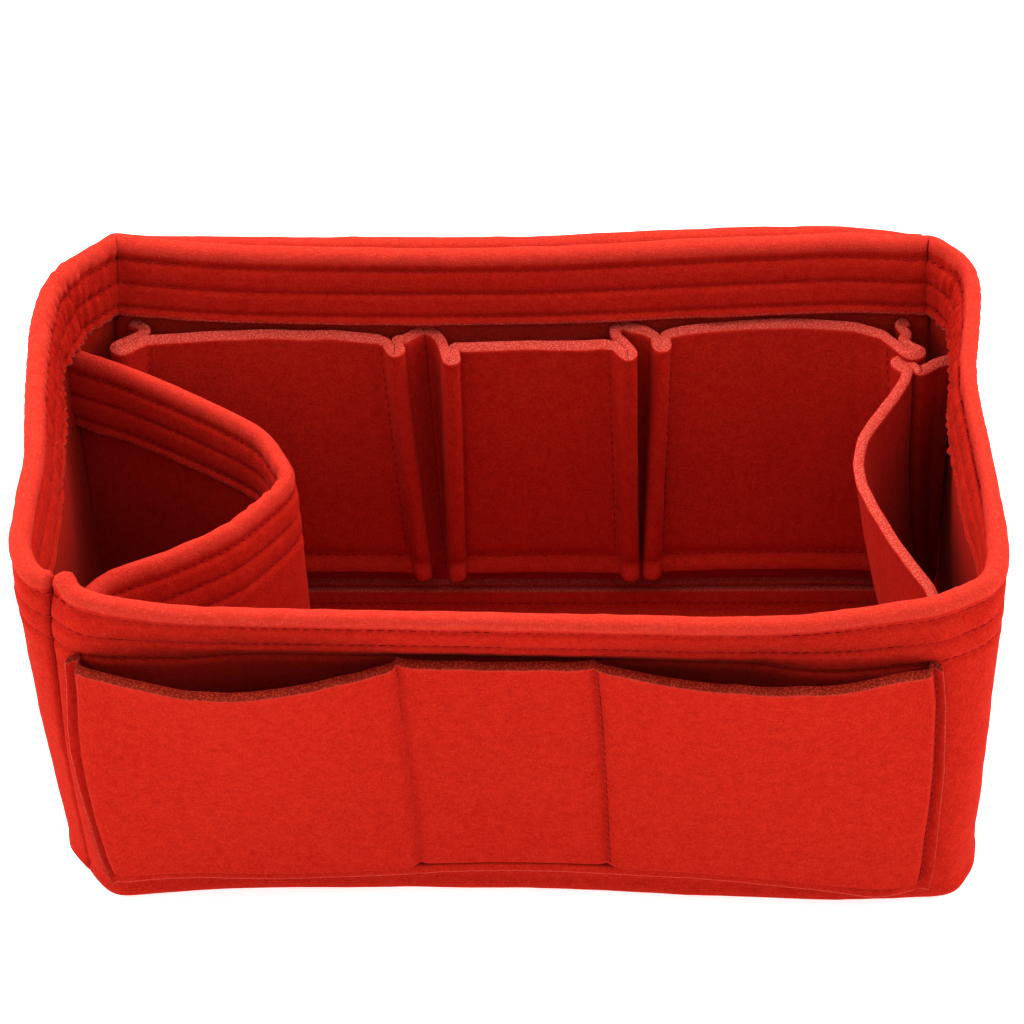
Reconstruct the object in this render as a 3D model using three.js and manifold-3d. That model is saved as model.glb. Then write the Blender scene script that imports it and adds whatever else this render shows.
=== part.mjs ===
// Felt organizer insert for a handbag: a flared open box of thick felt with a folded rim,
// slip pockets sewn on the front and back, pinned pockets inside and a loop for a bottle.
// Millimetres, +Z up, +X to the right seen from the front, origin under the middle of the base.
import * as THREE from "three";
import { mergeVertices } from "three/addons/utils/BufferGeometryUtils.js";
import Module from "manifold-3d";

const wasm = await Module();
wasm.setup();

// Driving dimensions of the felt and the box
const felt = 3;
const seamGap = 0.3;
const threadRadius = 0.35;
const boxHeight = 130.5;
const baseLength = 280;
const baseWidth = 137;
const baseCorner = 15;
const seamCorner = 11;
const baseFrontBow = 3;
const rimHalfLength = 147;
const rimHalfWidth = 92;
const hemDepth = 24.6;
const turnedEdge = 11.5;
const lipHeight = 11;
const rowDepths = [4.3, 12, 19.8];
const threadEndGap = 1.05;

// Front slip pocket panel
const frontPanelLeft = 127;
const frontPanelRight = 124;
const frontPanelTop = 107;
const frontPanelBottom = 14.5;
const frontCornerDrop = 3;
const frontEdgeInset = 3;
const frontEdgeStand = 3.5;
const leftMouthBulge = 12;
const rightMouthBulge = 11;
const middleMouthBulge = 1;
const mouthSwellPower = 1.6;
const leftDivider = 31;
const rightDivider = 26.5;
const panelRowInset = 4.5;
const dividerRise = 6.8;

// Back slip pocket panel
const backPanelBottom = 6;
const backPanelTop = boxHeight;
const backPanelInset = 2.5;
const backPanelDrop = 3.5;

// Pinned pockets on the inside of the back wall
const pocketTop = 101;
const pocketBottom = 20.5;
const pocketRowHeight = 28;
const gussetDepth = 14;
const ridgeWidth = 5.4;

// Pinned pocket on the inside of the right wall
const sideTop = 100;
const sideBottom = 20.5;
const sideBulge = 31.5;
const sideRowHeight = 28;
const sideSwellPower = 0.5;

// Bottle cell on the left: its roll is mapped to a smaller loop at the floor
const cellTop = 105.5;
const cellBaseNose = 66;
const cellBaseBack = 49;
const cellBaseFront = 55;
const cellRimBack = 75;
const cellFrontAtFloor = 121;
const cellFrontAtRim = 131;
const cellCutBeyond = 12;
const cellCutStations = [1, 4];

const sideSegments = { front: 20, corner: 5, right: 12, back: 20, left: 12, seam: 4 };
const longestMitre = 1.6;
const levelShares = [0, 0.25, 0.5, 0.68, 0.82, 0.91, 1];
const curlStartShare = 0.7;
const curlPower = 4;

// Middle of the folded rim from above, as shares of the rim's half length and half width
const frontRimShares = [
  [-0.915, -0.76], [-0.851, -0.855], [-0.72, -0.912], [-0.539, -0.936], [-0.236, -0.952],
  [0.145, -0.968], [0.334, -0.975], [0.511, -0.968], [0.697, -0.916], [0.789, -0.882],
];
const cornerRimShares = [
  [0.789, -0.882], [0.837, -0.841], [0.886, -0.793], [0.914, -0.732], [0.927, -0.643],
  [0.932, -0.505],
];
const rightRimShares = [
  [0.932, -0.505], [0.925, -0.216], [0.916, 0.189], [0.917, 0.334], [0.93, 0.486],
  [0.946, 0.66], [0.955, 0.807], [0.949, 0.927], [0.924, 1.007], [0.888, 1.061],
];
const backRimShares = [
  [0.888, 1.061], [0.714, 1.086], [0.56, 1.071], [0.384, 1.049], [0.166, 1.015],
  [-0.009, 0.997], [-0.27, 0.993], [-0.532, 1.003], [-0.707, 1.024], [-0.899, 1.074],
];
const leftRimShares = [
  [-0.899, 1.074], [-0.952, 1.007], [-0.999, 0.915], [-1.02, 0.783], [-1.022, 0.63],
  [-1.014, 0.412], [-0.996, 0.059], [-0.989, -0.143], [-0.997, -0.375], [-0.998, -0.56],
];
const seamRimShares = [
  [-0.998, -0.56], [-0.993, -0.614], [-0.973, -0.702], [-0.945, -0.755], [-0.915, -0.76],
];

// Middle of the bottle cell's roll from above, in the same shares, without its two ends
const cellRollShares = [
  [-0.872, -0.5], [-0.838, -0.436], [-0.726, -0.332], [-0.617, -0.203], [-0.542, -0.062],
  [-0.504, 0.021], [-0.486, 0.083], [-0.504, 0.166], [-0.556, 0.31], [-0.644, 0.426],
  [-0.772, 0.568], [-0.904, 0.701],
];

// Inner pockets: place along half the base length at the mouth and at the foot,
// then stand off the wall as shares of the gusset depth at the mouth and at the foot
const leftGussetShares = [
  [-0.931, -0.916, 0, 0], [-0.911, -0.916, 0.35, 0.08], [-0.951, -0.931, 0.7, 0.16],
  [-0.941, -0.941, 0.95, 0.26],
];
const leftRidgeShares = [[-0.936, -0.936, 0.93, 0.26], [-0.995, -0.96, 1.05, 0.36]];
const leftFaceShares = [
  [-0.946, -0.941, 0.93, 0.26], [-0.886, -0.877, 0.72, 0.26], [-0.758, -0.728, 0.42, 0.26],
  [-0.591, -0.567, 0.32, 0.26], [-0.443, -0.397, 0.34, 0.26], [-0.345, -0.285, 0.4, 0.27],
  [-0.305, -0.241, 0.44, 0.28],
];
const firstRidgeShares = [[-0.31, -0.241, 0.4, 0.26], [-0.302, -0.232, 0.8, 0.5]];
const firstGussetShares = [
  [-0.305, -0.241, 0.44, 0.28], [-0.276, -0.222, 0.24, 0.12], [-0.244, -0.2, 0, 0],
];
const secondGussetShares = [
  [-0.212, -0.172, 0, 0], [-0.2, -0.168, 0.2, 0.1], [-0.179, -0.163, 0.75, 0.28],
];
const secondRidgeShares = [[-0.178, -0.161, 0.72, 0.26], [-0.173, -0.161, 1.12, 0.55]];
const middleFaceShares = [
  [-0.179, -0.163, 0.75, 0.28], [-0.148, -0.132, 0.68, 0.26], [0.039, 0.047, 0.52, 0.24],
  [0.212, 0.222, 0.62, 0.26], [0.248, 0.26, 0.7, 0.28],
];
const thirdRidgeShares = [[0.246, 0.257, 0.66, 0.26], [0.254, 0.263, 1.06, 0.55]];
const thirdGussetShares = [
  [0.248, 0.255, 0.7, 0.28], [0.219, 0.25, 0.3, 0.12], [0.227, 0.259, 0, 0],
];
const fourthGussetShares = [
  [0.258, 0.289, 0, 0], [0.295, 0.299, 0.14, 0.1], [0.333, 0.312, 0.42, 0.26],
];
const fourthRidgeShares = [[0.333, 0.312, 0.38, 0.26], [0.333, 0.31, 0.78, 0.5]];
const rightFaceShares = [
  [0.333, 0.312, 0.42, 0.28], [0.364, 0.34, 0.33, 0.26], [0.571, 0.548, 0.3, 0.26],
  [0.788, 0.78, 0.36, 0.26], [0.877, 0.868, 0.56, 0.26], [0.941, 0.931, 1, 0.3],
];
const fifthRidgeShares = [[0.936, 0.926, 0.96, 0.28], [0.972, 0.956, 1.22, 0.4]];
const fifthGussetShares = [
  [0.941, 0.931, 1, 0.3], [0.926, 0.926, 0.5, 0.16], [0.911, 0.921, 0.2, 0.08],
  [0.941, 0.931, 0, 0],
];


// Valleys between them, at the mouth and at the foot
const leftValleyShares = [-0.228, -0.186];
const rightValleyShares = [0.2425, 0.274];

// Side pocket: place along the right wall, then stand off it as shares of the bulge
const sideBackGussetShares = [
  [0.85, 0.85, 0, 0], [0.83, 0.84, 0.3, 0.05], [0.79, 0.81, 0.42, 0.08], [0.8, 0.8, 0.5, 0.14],
];
const sideBackRidgeShares = [[0.795, 0.795, 0.47, 0.13], [0.835, 0.83, 0.6, 0.17]];
const sideFaceShares = [
  [0.8, 0.8, 0.5, 0.14], [0.75, 0.75, 0.59, 0.145], [0.69, 0.69, 0.7, 0.15],
  [0.6, 0.6, 0.87, 0.16], [0.53, 0.53, 0.97, 0.16], [0.46, 0.46, 1, 0.16],
  [0.385, 0.385, 0.98, 0.16], [0.28, 0.28, 0.88, 0.16], [0.165, 0.165, 0.7, 0.15],
  [0.04, 0.04, 0.45, 0.14], [0, 0, 0.38, 0.13],
];
const sideFrontRidgeShares = [[0.01, 0.01, 0.38, 0.13], [-0.05, -0.04, 0.4, 0.16]];
const sideFrontGussetShares = [
  [0, 0, 0.38, 0.13], [0.03, 0.02, 0.22, 0.07], [0.02, 0.01, 0, 0],
];

const feltMaterial = new THREE.MeshStandardMaterial({ color: 0xd42a1c, roughness: 0.95, metalness: 0 });
const threadMaterial = new THREE.MeshStandardMaterial({ color: 0xa8160e, roughness: 0.8, metalness: 0 });

const organizer = new THREE.Group();
organizer.name = "purse_organizer_insert";

function addPiece(name, geometry, material) {
  geometry.computeVertexNormals();
  const mesh = new THREE.Mesh(geometry, material);
  mesh.name = name;
  organizer.add(mesh);
}

// Vector square to the run of a plan line at one of its points, mitred, to the left of the run
function mitredNormal(points, index, closed) {
  const count = points.length;
  const here = points[index];
  const before = closed ? points[(index + count - 1) % count] : points[Math.max(index - 1, 0)];
  const after = closed ? points[(index + 1) % count] : points[Math.min(index + 1, count - 1)];
  const arriving = here.clone().sub(before);
  const leaving = after.clone().sub(here);
  const runIn = (arriving.length() > 0 ? arriving : leaving).clone().normalize();
  const runOut = (leaving.length() > 0 ? leaving : arriving).clone().normalize();
  const normalIn = new THREE.Vector2(-runIn.y, runIn.x);
  const normalOut = new THREE.Vector2(-runOut.y, runOut.x);
  return normalIn.add(normalOut).divideScalar(1 + runIn.dot(runOut));
}

// A standing skin: plan outlines at several heights, straight between them
class Skin {
  constructor(heights, outlines, closed) {
    this.heights = heights;
    this.outlines = outlines;
    this.closed = closed;
    this.normals = outlines.map((outline) => outline.map((_, i) => mitredNormal(outline, i, closed)));
    this.count = outlines[0].length;
  }

  // Point at a place along the outline, a height, and a distance in from the outer face
  point(place, height, inset) {
    const last = this.heights.length - 2;
    const above = this.heights.findIndex((level) => level > height);
    const low = above < 0 ? last : Math.max(above - 1, 0);
    const rise = (height - this.heights[low]) / (this.heights[low + 1] - this.heights[low]);
    const lower = this.planPoint(low, place, inset);
    const upper = this.planPoint(low + 1, place, inset);
    const plan = lower.lerp(upper, rise);
    return new THREE.Vector3(plan.x, plan.y, height);
  }

  planPoint(level, place, inset) {
    const whole = Math.floor(place);
    const first = this.wrapped(whole);
    const second = this.wrapped(whole + 1);
    const outline = this.outlines[level];
    const normals = this.normals[level];
    const start = outline[first].clone().addScaledVector(normals[first], inset);
    const end = outline[second].clone().addScaledVector(normals[second], inset);
    return start.lerp(end, place - whole);
  }

  wrapped(index) {
    return this.closed ? (index + this.count) % this.count : Math.min(index, this.count - 1);
  }
}

// Whole stations from one place to another, with both ends
function stationsBetween(from, to) {
  const places = [from];
  for (let whole = Math.floor(from) + 1; whole < to; whole += 1) places.push(whole);
  places.push(to);
  return places;
}

// Closed solid through rings of as many points each, capped at its first and last ring
function loftedSolid(rings, capOutline) {
  const size = rings[0].length;
  const positions = rings.flat().flatMap((point) => [point.x, point.y, point.z]);
  const index = [];
  for (let ring = 0; ring < rings.length - 1; ring += 1) {
    for (let side = 0; side < size; side += 1) {
      const a = ring * size + side;
      const b = ring * size + (side + 1) % size;
      index.push(a, a + size, b, b, a + size, b + size);
    }
  }
  const lastRing = (rings.length - 1) * size;
  for (const [a, b, c] of filledOutline(capOutline)) {
    index.push(a, b, c, lastRing + a, lastRing + c, lastRing + b);
  }
  return facingOut(positions, index);
}

// Triangles that fill an outline, each turning the way the outline does
function filledOutline(outline) {
  const triangles = THREE.ShapeUtils.triangulateShape(outline, []);
  const [a, b, c] = triangles[0].map((i) => outline[i]);
  const turn = (b.x - a.x) * (c.y - a.y) - (b.y - a.y) * (c.x - a.x);
  const same = turn > 0 === THREE.ShapeUtils.area(outline) > 0;
  return same ? triangles : triangles.map((triangle) => triangle.toReversed());
}

// Geometry with its faces turned outwards
function facingOut(positions, index) {
  const corner = (i) => new THREE.Vector3().fromArray(positions, index[i] * 3);
  let volume = 0;
  for (let i = 0; i < index.length; i += 3) {
    volume += corner(i).dot(corner(i + 1).cross(corner(i + 2)));
  }
  if (volume < 0) {
    for (let i = 0; i < index.length; i += 3) [index[i + 1], index[i + 2]] = [index[i + 2], index[i + 1]];
  }
  const geometry = new THREE.BufferGeometry();
  geometry.setAttribute("position", new THREE.Float32BufferAttribute(positions, 3));
  geometry.setIndex(index);
  return geometry;
}

function toManifold(geometry) {
  const merged = mergeVertices(geometry);
  return new wasm.Manifold(new wasm.Mesh({
    numProp: 3,
    vertProperties: new Float32Array(merged.attributes.position.array),
    triVerts: new Uint32Array(merged.index.array),
  }));
}

// One body from overlapping ones, without the sealed hollows that a join can leave
function joined(geometries) {
  const [first, ...others] = geometries.map(toManifold);
  const bodies = others.reduce((whole, part) => whole.add(part), first).decompose();
  return toGeometry(bodies.reduce((most, body) => (body.volume() > most.volume() ? body : most)));
}

function toGeometry(manifold) {
  const mesh = manifold.getMesh();
  const geometry = new THREE.BufferGeometry();
  geometry.setAttribute("position", new THREE.BufferAttribute(mesh.vertProperties, 3));
  geometry.setIndex(new THREE.BufferAttribute(mesh.triVerts, 1));
  return geometry;
}

// Path of a thread with a ring of the tube at each of its own points
class ThreadPath extends THREE.Curve {
  constructor(points) {
    super();
    this.points = points;
  }

  getPoint(share) {
    const place = share * (this.points.length - 1);
    const whole = Math.min(Math.floor(place), this.points.length - 2);
    return this.points[whole].clone().lerp(this.points[whole + 1], place - whole);
  }

  getPointAt(share) {
    return this.getPoint(share);
  }

  getTangentAt(share) {
    const here = Math.round(share * (this.points.length - 1));
    const before = this.points[Math.max(here - 1, 0)];
    const after = this.points[Math.min(here + 1, this.points.length - 1)];
    return after.clone().sub(before).normalize();
  }
}

const threadSides = 3;
const threadShape = new THREE.Shape(
  Array.from({ length: threadSides }, (_, side) => {
    const turn = (2 * Math.PI * side) / threadSides;
    return new THREE.Vector2(threadRadius * Math.cos(turn), threadRadius * Math.sin(turn));
  }),
);

function addThread(name, points) {
  const steps = points.length - 1;
  const extrudePath = new ThreadPath(points);
  addPiece(name, new THREE.ExtrudeGeometry(threadShape, { steps, extrudePath }), threadMaterial);
}

// Leaves an opening of one seam gap between the two ends of a closed thread
function closedRun(points) {
  const end = points[0].clone().sub(points[points.length - 1]);
  end.setLength(Math.max(end.length() - threadEndGap, seamGap)).add(points[points.length - 1]);
  return [...points, end];
}

// Section of a hemmed wall: distance in from its outer face, and height
function hemmedSection(levels, bottom, top, hem, turned) {
  const between = (low, high) => levels.filter((level) => level > low && level < high);
  const outer = between(bottom + felt, top - felt).map((z) => [0, z]);
  const roll = [0, 0.25, 0.5, 0.75, 1].map((share) => [
    felt * (1 - Math.cos(Math.PI * share)),
    top - felt * (1 - Math.sin(Math.PI * share)),
  ]);
  const hemFace = between(top - hem, top - felt).reverse().map((z) => [2 * felt, z]);
  const innerFace = between(bottom + turned, top - hem).reverse().map((z) => [felt, z]);
  const turnedFoot = [
    [felt, bottom + turned],
    [2 * felt, bottom + turned],
    [2 * felt, bottom + felt / 3],
    [2 * felt - felt / 3, bottom],
  ];
  return [
    [felt / 3, bottom],
    [0, bottom + felt / 3],
    ...outer,
    ...roll,
    ...hemFace,
    [2 * felt, top - hem],
    [felt, top - hem],
    ...innerFace,
    ...(turned > 0 ? turnedFoot : [[felt, bottom]]),
  ];
}

function hemmedWall(skin, places, section, inset, dropAt = () => 0) {
  const rings = places.map((place) =>
    section.map(([depth, z]) => skin.point(place, z - dropAt(place), inset + depth)),
  );
  return loftedSolid(rings, section.map(([depth, z]) => new THREE.Vector2(depth, z)));
}

// Raw-edged strip that stands on edge: a plan line at each height, given a thickness
function standingStrip(lines, thickness) {
  const left = lines.map((line) => offsetLine(line, thickness / 2));
  const right = lines.map((line) => offsetLine(line, -thickness / 2));
  const rings = lines[0].map((_, i) => [
    ...left.map((line) => line[i]),
    ...right.map((line) => line[i]).reverse(),
  ]);
  const capOutline = [
    ...lines.map((line, level) => new THREE.Vector2(0, level)),
    ...lines.map((line, level) => new THREE.Vector2(1, level)).reverse(),
  ];
  return loftedSolid(rings, capOutline);
}

function offsetLine(line, distance) {
  const plan = line.map((point) => new THREE.Vector2(point.x, point.y));
  return line.map((point, i) => {
    const normal = mitredNormal(plan, i, false).clampLength(0, longestMitre);
    return new THREE.Vector3(point.x + normal.x * distance, point.y + normal.y * distance, point.z);
  });
}

// The box's skin: rounded rectangle at the base, wavy flared line at the rim
const right = baseLength / 2;
const back = baseWidth / 2;
const frontFrom = seamCorner - right;
const frontTo = right - baseCorner;
const quarter = Math.PI / 2;
const baseSides = {
  front: new THREE.QuadraticBezierCurve(
    new THREE.Vector2(frontFrom, -back),
    new THREE.Vector2((frontFrom + frontTo) / 2, 2 * baseFrontBow - back),
    new THREE.Vector2(frontTo, -back),
  ),
  corner: new THREE.EllipseCurve(frontTo, baseCorner - back, baseCorner, baseCorner, -quarter, 0),
  right: new THREE.LineCurve(new THREE.Vector2(right, baseCorner - back), new THREE.Vector2(right, back)),
  back: new THREE.LineCurve(new THREE.Vector2(right, back), new THREE.Vector2(-right, back)),
  left: new THREE.LineCurve(new THREE.Vector2(-right, back), new THREE.Vector2(-right, seamCorner - back)),
  seam: new THREE.EllipseCurve(
    frontFrom, seamCorner - back, seamCorner, seamCorner, 2 * quarter, 3 * quarter,
  ),
};
const rimShares = {
  front: frontRimShares,
  corner: cornerRimShares,
  right: rightRimShares,
  back: backRimShares,
  left: leftRimShares,
  seam: seamRimShares,
};

const sideStart = {};
const baseOutline = [];
const rimMiddle = [];
const frontCurl = [];
for (const [side, segments] of Object.entries(sideSegments)) {
  sideStart[side] = baseOutline.length;
  const rimLine = new THREE.SplineCurve(
    rimShares[side].map(([x, y]) => new THREE.Vector2(x * rimHalfLength, y * rimHalfWidth)),
  );
  const rimPoints = rimLine.getSpacedPoints(segments);
  for (let i = 0; i < segments; i += 1) {
    baseOutline.push(baseSides[side].getPointAt(i / segments));
    rimMiddle.push(rimPoints[i]);
    frontCurl.push(side === "front" ? Math.sqrt(Math.sin((Math.PI * i) / segments)) : 0);
  }
}
const stationCount = baseOutline.length;
const rimOutline = rimMiddle.map((point, i) =>
  point.clone().addScaledVector(mitredNormal(rimMiddle, i, true), -felt),
);

// Share of the flare reached at a share of the height: the front rim curls outwards
function flareShare(share, curl) {
  const curled = curlStartShare * share + (1 - curlStartShare) * share ** curlPower;
  return THREE.MathUtils.lerp(share, curled, curl);
}

const boxOutlines = levelShares.map((share) =>
  baseOutline.map((point, i) => point.clone().lerp(rimOutline[i], flareShare(share, frontCurl[i]))),
);
const box = new Skin(levelShares.map((share) => share * boxHeight), boxOutlines, true);

// Place along the box's skin of a distance from the middle of the front or back
function frontPlace(x) {
  return (sideSegments.front * (x - frontFrom)) / (frontTo - frontFrom);
}

function backPlace(x) {
  return sideStart.back + (sideSegments.back * (right - x)) / baseLength;
}

function rightPlace(share) {
  return sideStart.right + sideSegments.right * share;
}

// Body walls: one strip of felt, parted where its seam, corner and tucks are
const cornerPlaces = {
  front: [0, sideStart.corner],
  right: [sideStart.corner, sideStart.back],
  back: [sideStart.back, sideStart.left],
  left: [sideStart.left, stationCount],
};
const wallSection = hemmedSection(box.heights, 0, boxHeight, hemDepth, turnedEdge);
for (const [side, [from, to]] of Object.entries(cornerPlaces)) {
  const firstLength = box.point(from, 0, 0).distanceTo(box.point(from + 1, 0, 0));
  const lastLength = box.point(to - 1, 0, 0).distanceTo(box.point(to, 0, 0));
  const places = stationsBetween(from + seamGap / firstLength, to - seamGap / lastLength);
  addPiece(side + "_wall", hemmedWall(box, places, wallSection, 0), feltMaterial);
}

// Base: a floor whose edge is turned up inside the walls
function basePanel() {
  const inset = 2 * felt + seamGap;
  const ringAt = (z, depth) =>
    baseOutline.map((_, place) => box.point(place, z, inset + depth));
  const rings = [ringAt(0, 0), ringAt(lipHeight, 0), ringAt(lipHeight, felt), ringAt(felt, felt)];
  const count = stationCount;
  const positions = rings.flat().flatMap((point) => [point.x, point.y, point.z]);
  const index = [];
  for (let ring = 0; ring < rings.length - 1; ring += 1) {
    for (let i = 0; i < count; i += 1) {
      const a = ring * count + i;
      const b = ring * count + (i + 1) % count;
      index.push(a, b, a + count, b, b + count, a + count);
    }
  }
  const plan = (ring) => ring.map((point) => new THREE.Vector2(point.x, point.y));
  const top = (rings.length - 1) * count;
  for (const [a, b, c] of filledOutline(plan(rings[0]))) index.push(a, c, b);
  for (const [a, b, c] of filledOutline(plan(rings.at(-1)))) index.push(top + a, top + b, top + c);
  return facingOut(positions, index);
}
addPiece("base_panel", basePanel(), feltMaterial);

// Rows of stitching round the rim, inside and outside, and the run that holds the base
const clear = seamGap + threadRadius;
const wholePlaces = baseOutline.map((_, place) => place);
rowDepths.forEach((depth, row) => {
  const z = boxHeight - depth;
  const outerRun = wholePlaces.map((place) => box.point(place, z, -clear));
  const innerRun = wholePlaces.map((place) => box.point(place, z, 2 * felt + clear));
  addThread("rim_row_outer_" + (row + 1), closedRun(outerRun));
  addThread("rim_row_inner_" + (row + 1), closedRun(innerRun));
});
const baseRowHeight = (felt + lipHeight) / 2;
addThread(
  "base_seam_thread",
  closedRun(wholePlaces.map((place) => box.point(place, baseRowHeight, 3 * felt + seamGap + clear))),
);

// Upright seams: the joint of the strip at the front left, and the two tucks at the back
const seamHeights = levelShares.slice(1, -1).map((share) => share * boxHeight);
const seamFoot = 2 * felt;
const seamHead = boxHeight - 2 * felt;
addThread(
  "corner_seam_thread",
  [seamFoot, ...seamHeights, seamHead].map((z) => box.point(0, z, -2 * clear)),
);
const hemEdge = boxHeight - hemDepth;
function tuckRun(place) {
  const low = [turnedEdge + felt, ...seamHeights.filter((z) => z < hemEdge - felt), hemEdge - felt];
  const high = [hemEdge, ...seamHeights.filter((z) => z > hemEdge)];
  return [
    ...low.map((z) => box.point(place, z, felt + 2 * clear)),
    ...high.map((z) => box.point(place, z, 2 * felt + 2 * clear)),
  ];
}

addThread("back_left_tuck_thread", tuckRun(sideStart.left));
addThread("back_right_tuck_thread", tuckRun(sideStart.back));

// Front slip pocket: one panel sewn down its sides, its foot and along two dividing rows
function mouthBulge(x, rise) {
  const swell = rise ** mouthSwellPower;
  if (x <= -leftDivider) {
    const share = (x + frontPanelLeft) / (frontPanelLeft - leftDivider);
    return leftMouthBulge * Math.sin(Math.PI * share) * swell + frontEdgeStand * (1 - share);
  }
  if (x < rightDivider) {
    const share = (x + leftDivider) / (leftDivider + rightDivider);
    return middleMouthBulge * Math.sin(Math.PI * share) * swell;
  }
  const share = (frontPanelRight - x) / (frontPanelRight - rightDivider);
  return rightMouthBulge * Math.sin(Math.PI * share) * swell + frontEdgeStand * (1 - share);
}

function frontPanelPoint(x, z, proud) {
  const atEdge = x <= -frontPanelLeft || x >= frontPanelRight;
  const low = frontPanelHeight(x, 0);
  const rise = THREE.MathUtils.clamp((z - low) / (frontPanelHeight(x, 1) - low), 0, 1);
  const stand = atEdge ? 0 : mouthBulge(x, rise);
  return box.point(frontPlace(x), z, -(seamGap + felt / 2 + stand + proud));
}

// Drop of the panel's foot and mouth towards its two ends
function frontPanelDrop(x) {
  const fromMiddle = (2 * x + frontPanelLeft - frontPanelRight) / (frontPanelLeft + frontPanelRight);
  return frontCornerDrop * fromMiddle ** 4;
}

function frontPanelHeight(x, share) {
  return THREE.MathUtils.lerp(frontPanelBottom, frontPanelTop, share) - frontPanelDrop(x);
}

const frontStationXs = stationsBetween(frontPlace(-frontPanelLeft), frontPlace(frontPanelRight))
  .slice(1, -1)
  .map((place) => frontFrom + (place * (frontTo - frontFrom)) / sideSegments.front);
const frontXs = [
  -frontPanelLeft,
  frontEdgeInset - frontPanelLeft,
  ...frontStationXs,
  -leftDivider,
  rightDivider,
  frontPanelRight - frontEdgeInset,
  frontPanelRight,
].sort((a, b) => a - b).filter((x, i, all) => i === 0 || x - all[i - 1] > seamGap);
const panelRiseShares = [0, 0.2, 0.45, 0.7, 0.88, 1];
const frontPanelLines = panelRiseShares.map((share) =>
  frontXs.map((x) => frontPanelPoint(x, frontPanelHeight(x, share), 0)),
);
addPiece("front_pocket_panel", standingStrip(frontPanelLines, felt), feltMaterial);

// A thread that lies on the face of the front panel
function onFrontPanel(x, share) {
  return frontPanelPoint(x, frontPanelHeight(x, share), felt / 2 + 2 * clear);
}
const panelRowLeft = -frontPanelLeft + panelRowInset + frontEdgeInset;
const panelRowRight = frontPanelRight - panelRowInset - frontEdgeInset;
const panelFootShare = panelRowInset / (frontPanelTop - frontPanelBottom);
const panelHeadShare = 1 - panelFootShare / 2;
const panelRowShares = [...panelRiseShares.slice(1, -1), panelHeadShare];
addThread("front_pocket_edge_thread", [
  ...panelRowShares.toReversed().map((share) => onFrontPanel(panelRowLeft, share)),
  ...[panelRowLeft, ...frontXs.filter((x) => x > panelRowLeft && x < panelRowRight), panelRowRight].map(
    (x) => onFrontPanel(x, panelFootShare),
  ),
  ...panelRowShares.map((share) => onFrontPanel(panelRowRight, share)),
]);
for (const [name, x] of [["left", -leftDivider], ["right", rightDivider]]) {
  const shares = [dividerRise / (frontPanelTop - frontPanelBottom), ...panelRowShares];
  addThread("front_pocket_divider_thread_" + name, shares.map((share) => onFrontPanel(x, share)));
}

// Back slip pocket: a hemmed panel as tall as the box, a little lower at its ends
const backInset = -(2 * felt + 2 * clear);
const backEnds = [backPlace(right - backPanelInset), backPlace(backPanelInset - right)];
const backPlaces = stationsBetween(...backEnds);
const backHeight = backPanelTop - backPanelBottom;
const backSection = hemmedSection(box.heights, backPanelBottom, backPanelTop, hemDepth, turnedEdge);
const backMiddle = (backEnds[0] + backEnds[1]) / 2;
const backDrop = (place) => backPanelDrop * ((place - backMiddle) / (backEnds[1] - backMiddle)) ** 4;
addPiece(
  "back_pocket_panel",
  hemmedWall(box, backPlaces, backSection, backInset, backDrop),
  feltMaterial,
);
const onBackPanel = (place, z) => box.point(place, z - backDrop(place), backInset - clear);
const backRun = backPlaces.slice(1, -1);
rowDepths.forEach((depth, row) => {
  const z = backPanelTop - depth;
  addThread("back_pocket_row_" + (row + 1), backRun.map((place) => onBackPanel(place, z)));
});
const backRowFoot = backPanelBottom + panelRowInset;
const backRowHead = backPanelTop - rowDepths[2] - panelRowInset;
const backSideHeights = seamHeights.filter((z) => z > backRowFoot && z < backRowHead);
const backSide = [backRowFoot, ...backSideHeights, backRowHead];
addThread("back_pocket_edge_thread", [
  ...backSide.toReversed().map((z) => onBackPanel(backRun[0], z)),
  ...backRun.slice(1, -1).map((place) => onBackPanel(place, backRowFoot)),
  ...backSide.map((z) => onBackPanel(backRun.at(-1), z)),
]);

// Pinned pockets: each is a face between two standing ridges, tied to the wall by its gussets
const onBack = {
  foot: pocketBottom,
  row: pocketRowHeight,
  top: pocketTop,
  depth: gussetDepth,
  swellPower: 1,
  placeAt: (share) => backPlace(share * right),
};
const onSide = {
  foot: sideBottom,
  row: sideRowHeight,
  top: sideTop,
  depth: sideBulge,
  swellPower: sideSwellPower,
  placeAt: rightPlace,
};

function runLine(rows, z, wall) {
  const rise = (z - wall.foot) / (wall.top - wall.foot);
  const swell = (Math.max(z - wall.row, 0) / (wall.top - wall.row)) ** wall.swellPower;
  return rows.map(([placeTop, placeFoot, standTop, standFoot]) => {
    const place = wall.placeAt(THREE.MathUtils.lerp(placeFoot, placeTop, rise));
    const stand = wall.depth * THREE.MathUtils.lerp(standFoot, standTop, swell);
    return box.point(place, z, felt + seamGap + felt / 2 + stand);
  });
}

function strip(rows, thickness, wall) {
  const between = seamHeights.filter((z) => z > wall.row && z < wall.top);
  const heights = [wall.foot, wall.row, ...between, wall.top];
  return standingStrip(heights.map((z) => runLine(rows, z, wall)), thickness);
}

function pinnedPocket(wall, sheets, ridges) {
  return joined([
    ...sheets.map((rows) => strip(rows, felt, wall)),
    ...ridges.map((rows) => strip(rows, ridgeWidth, wall)),
  ]);
}

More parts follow.
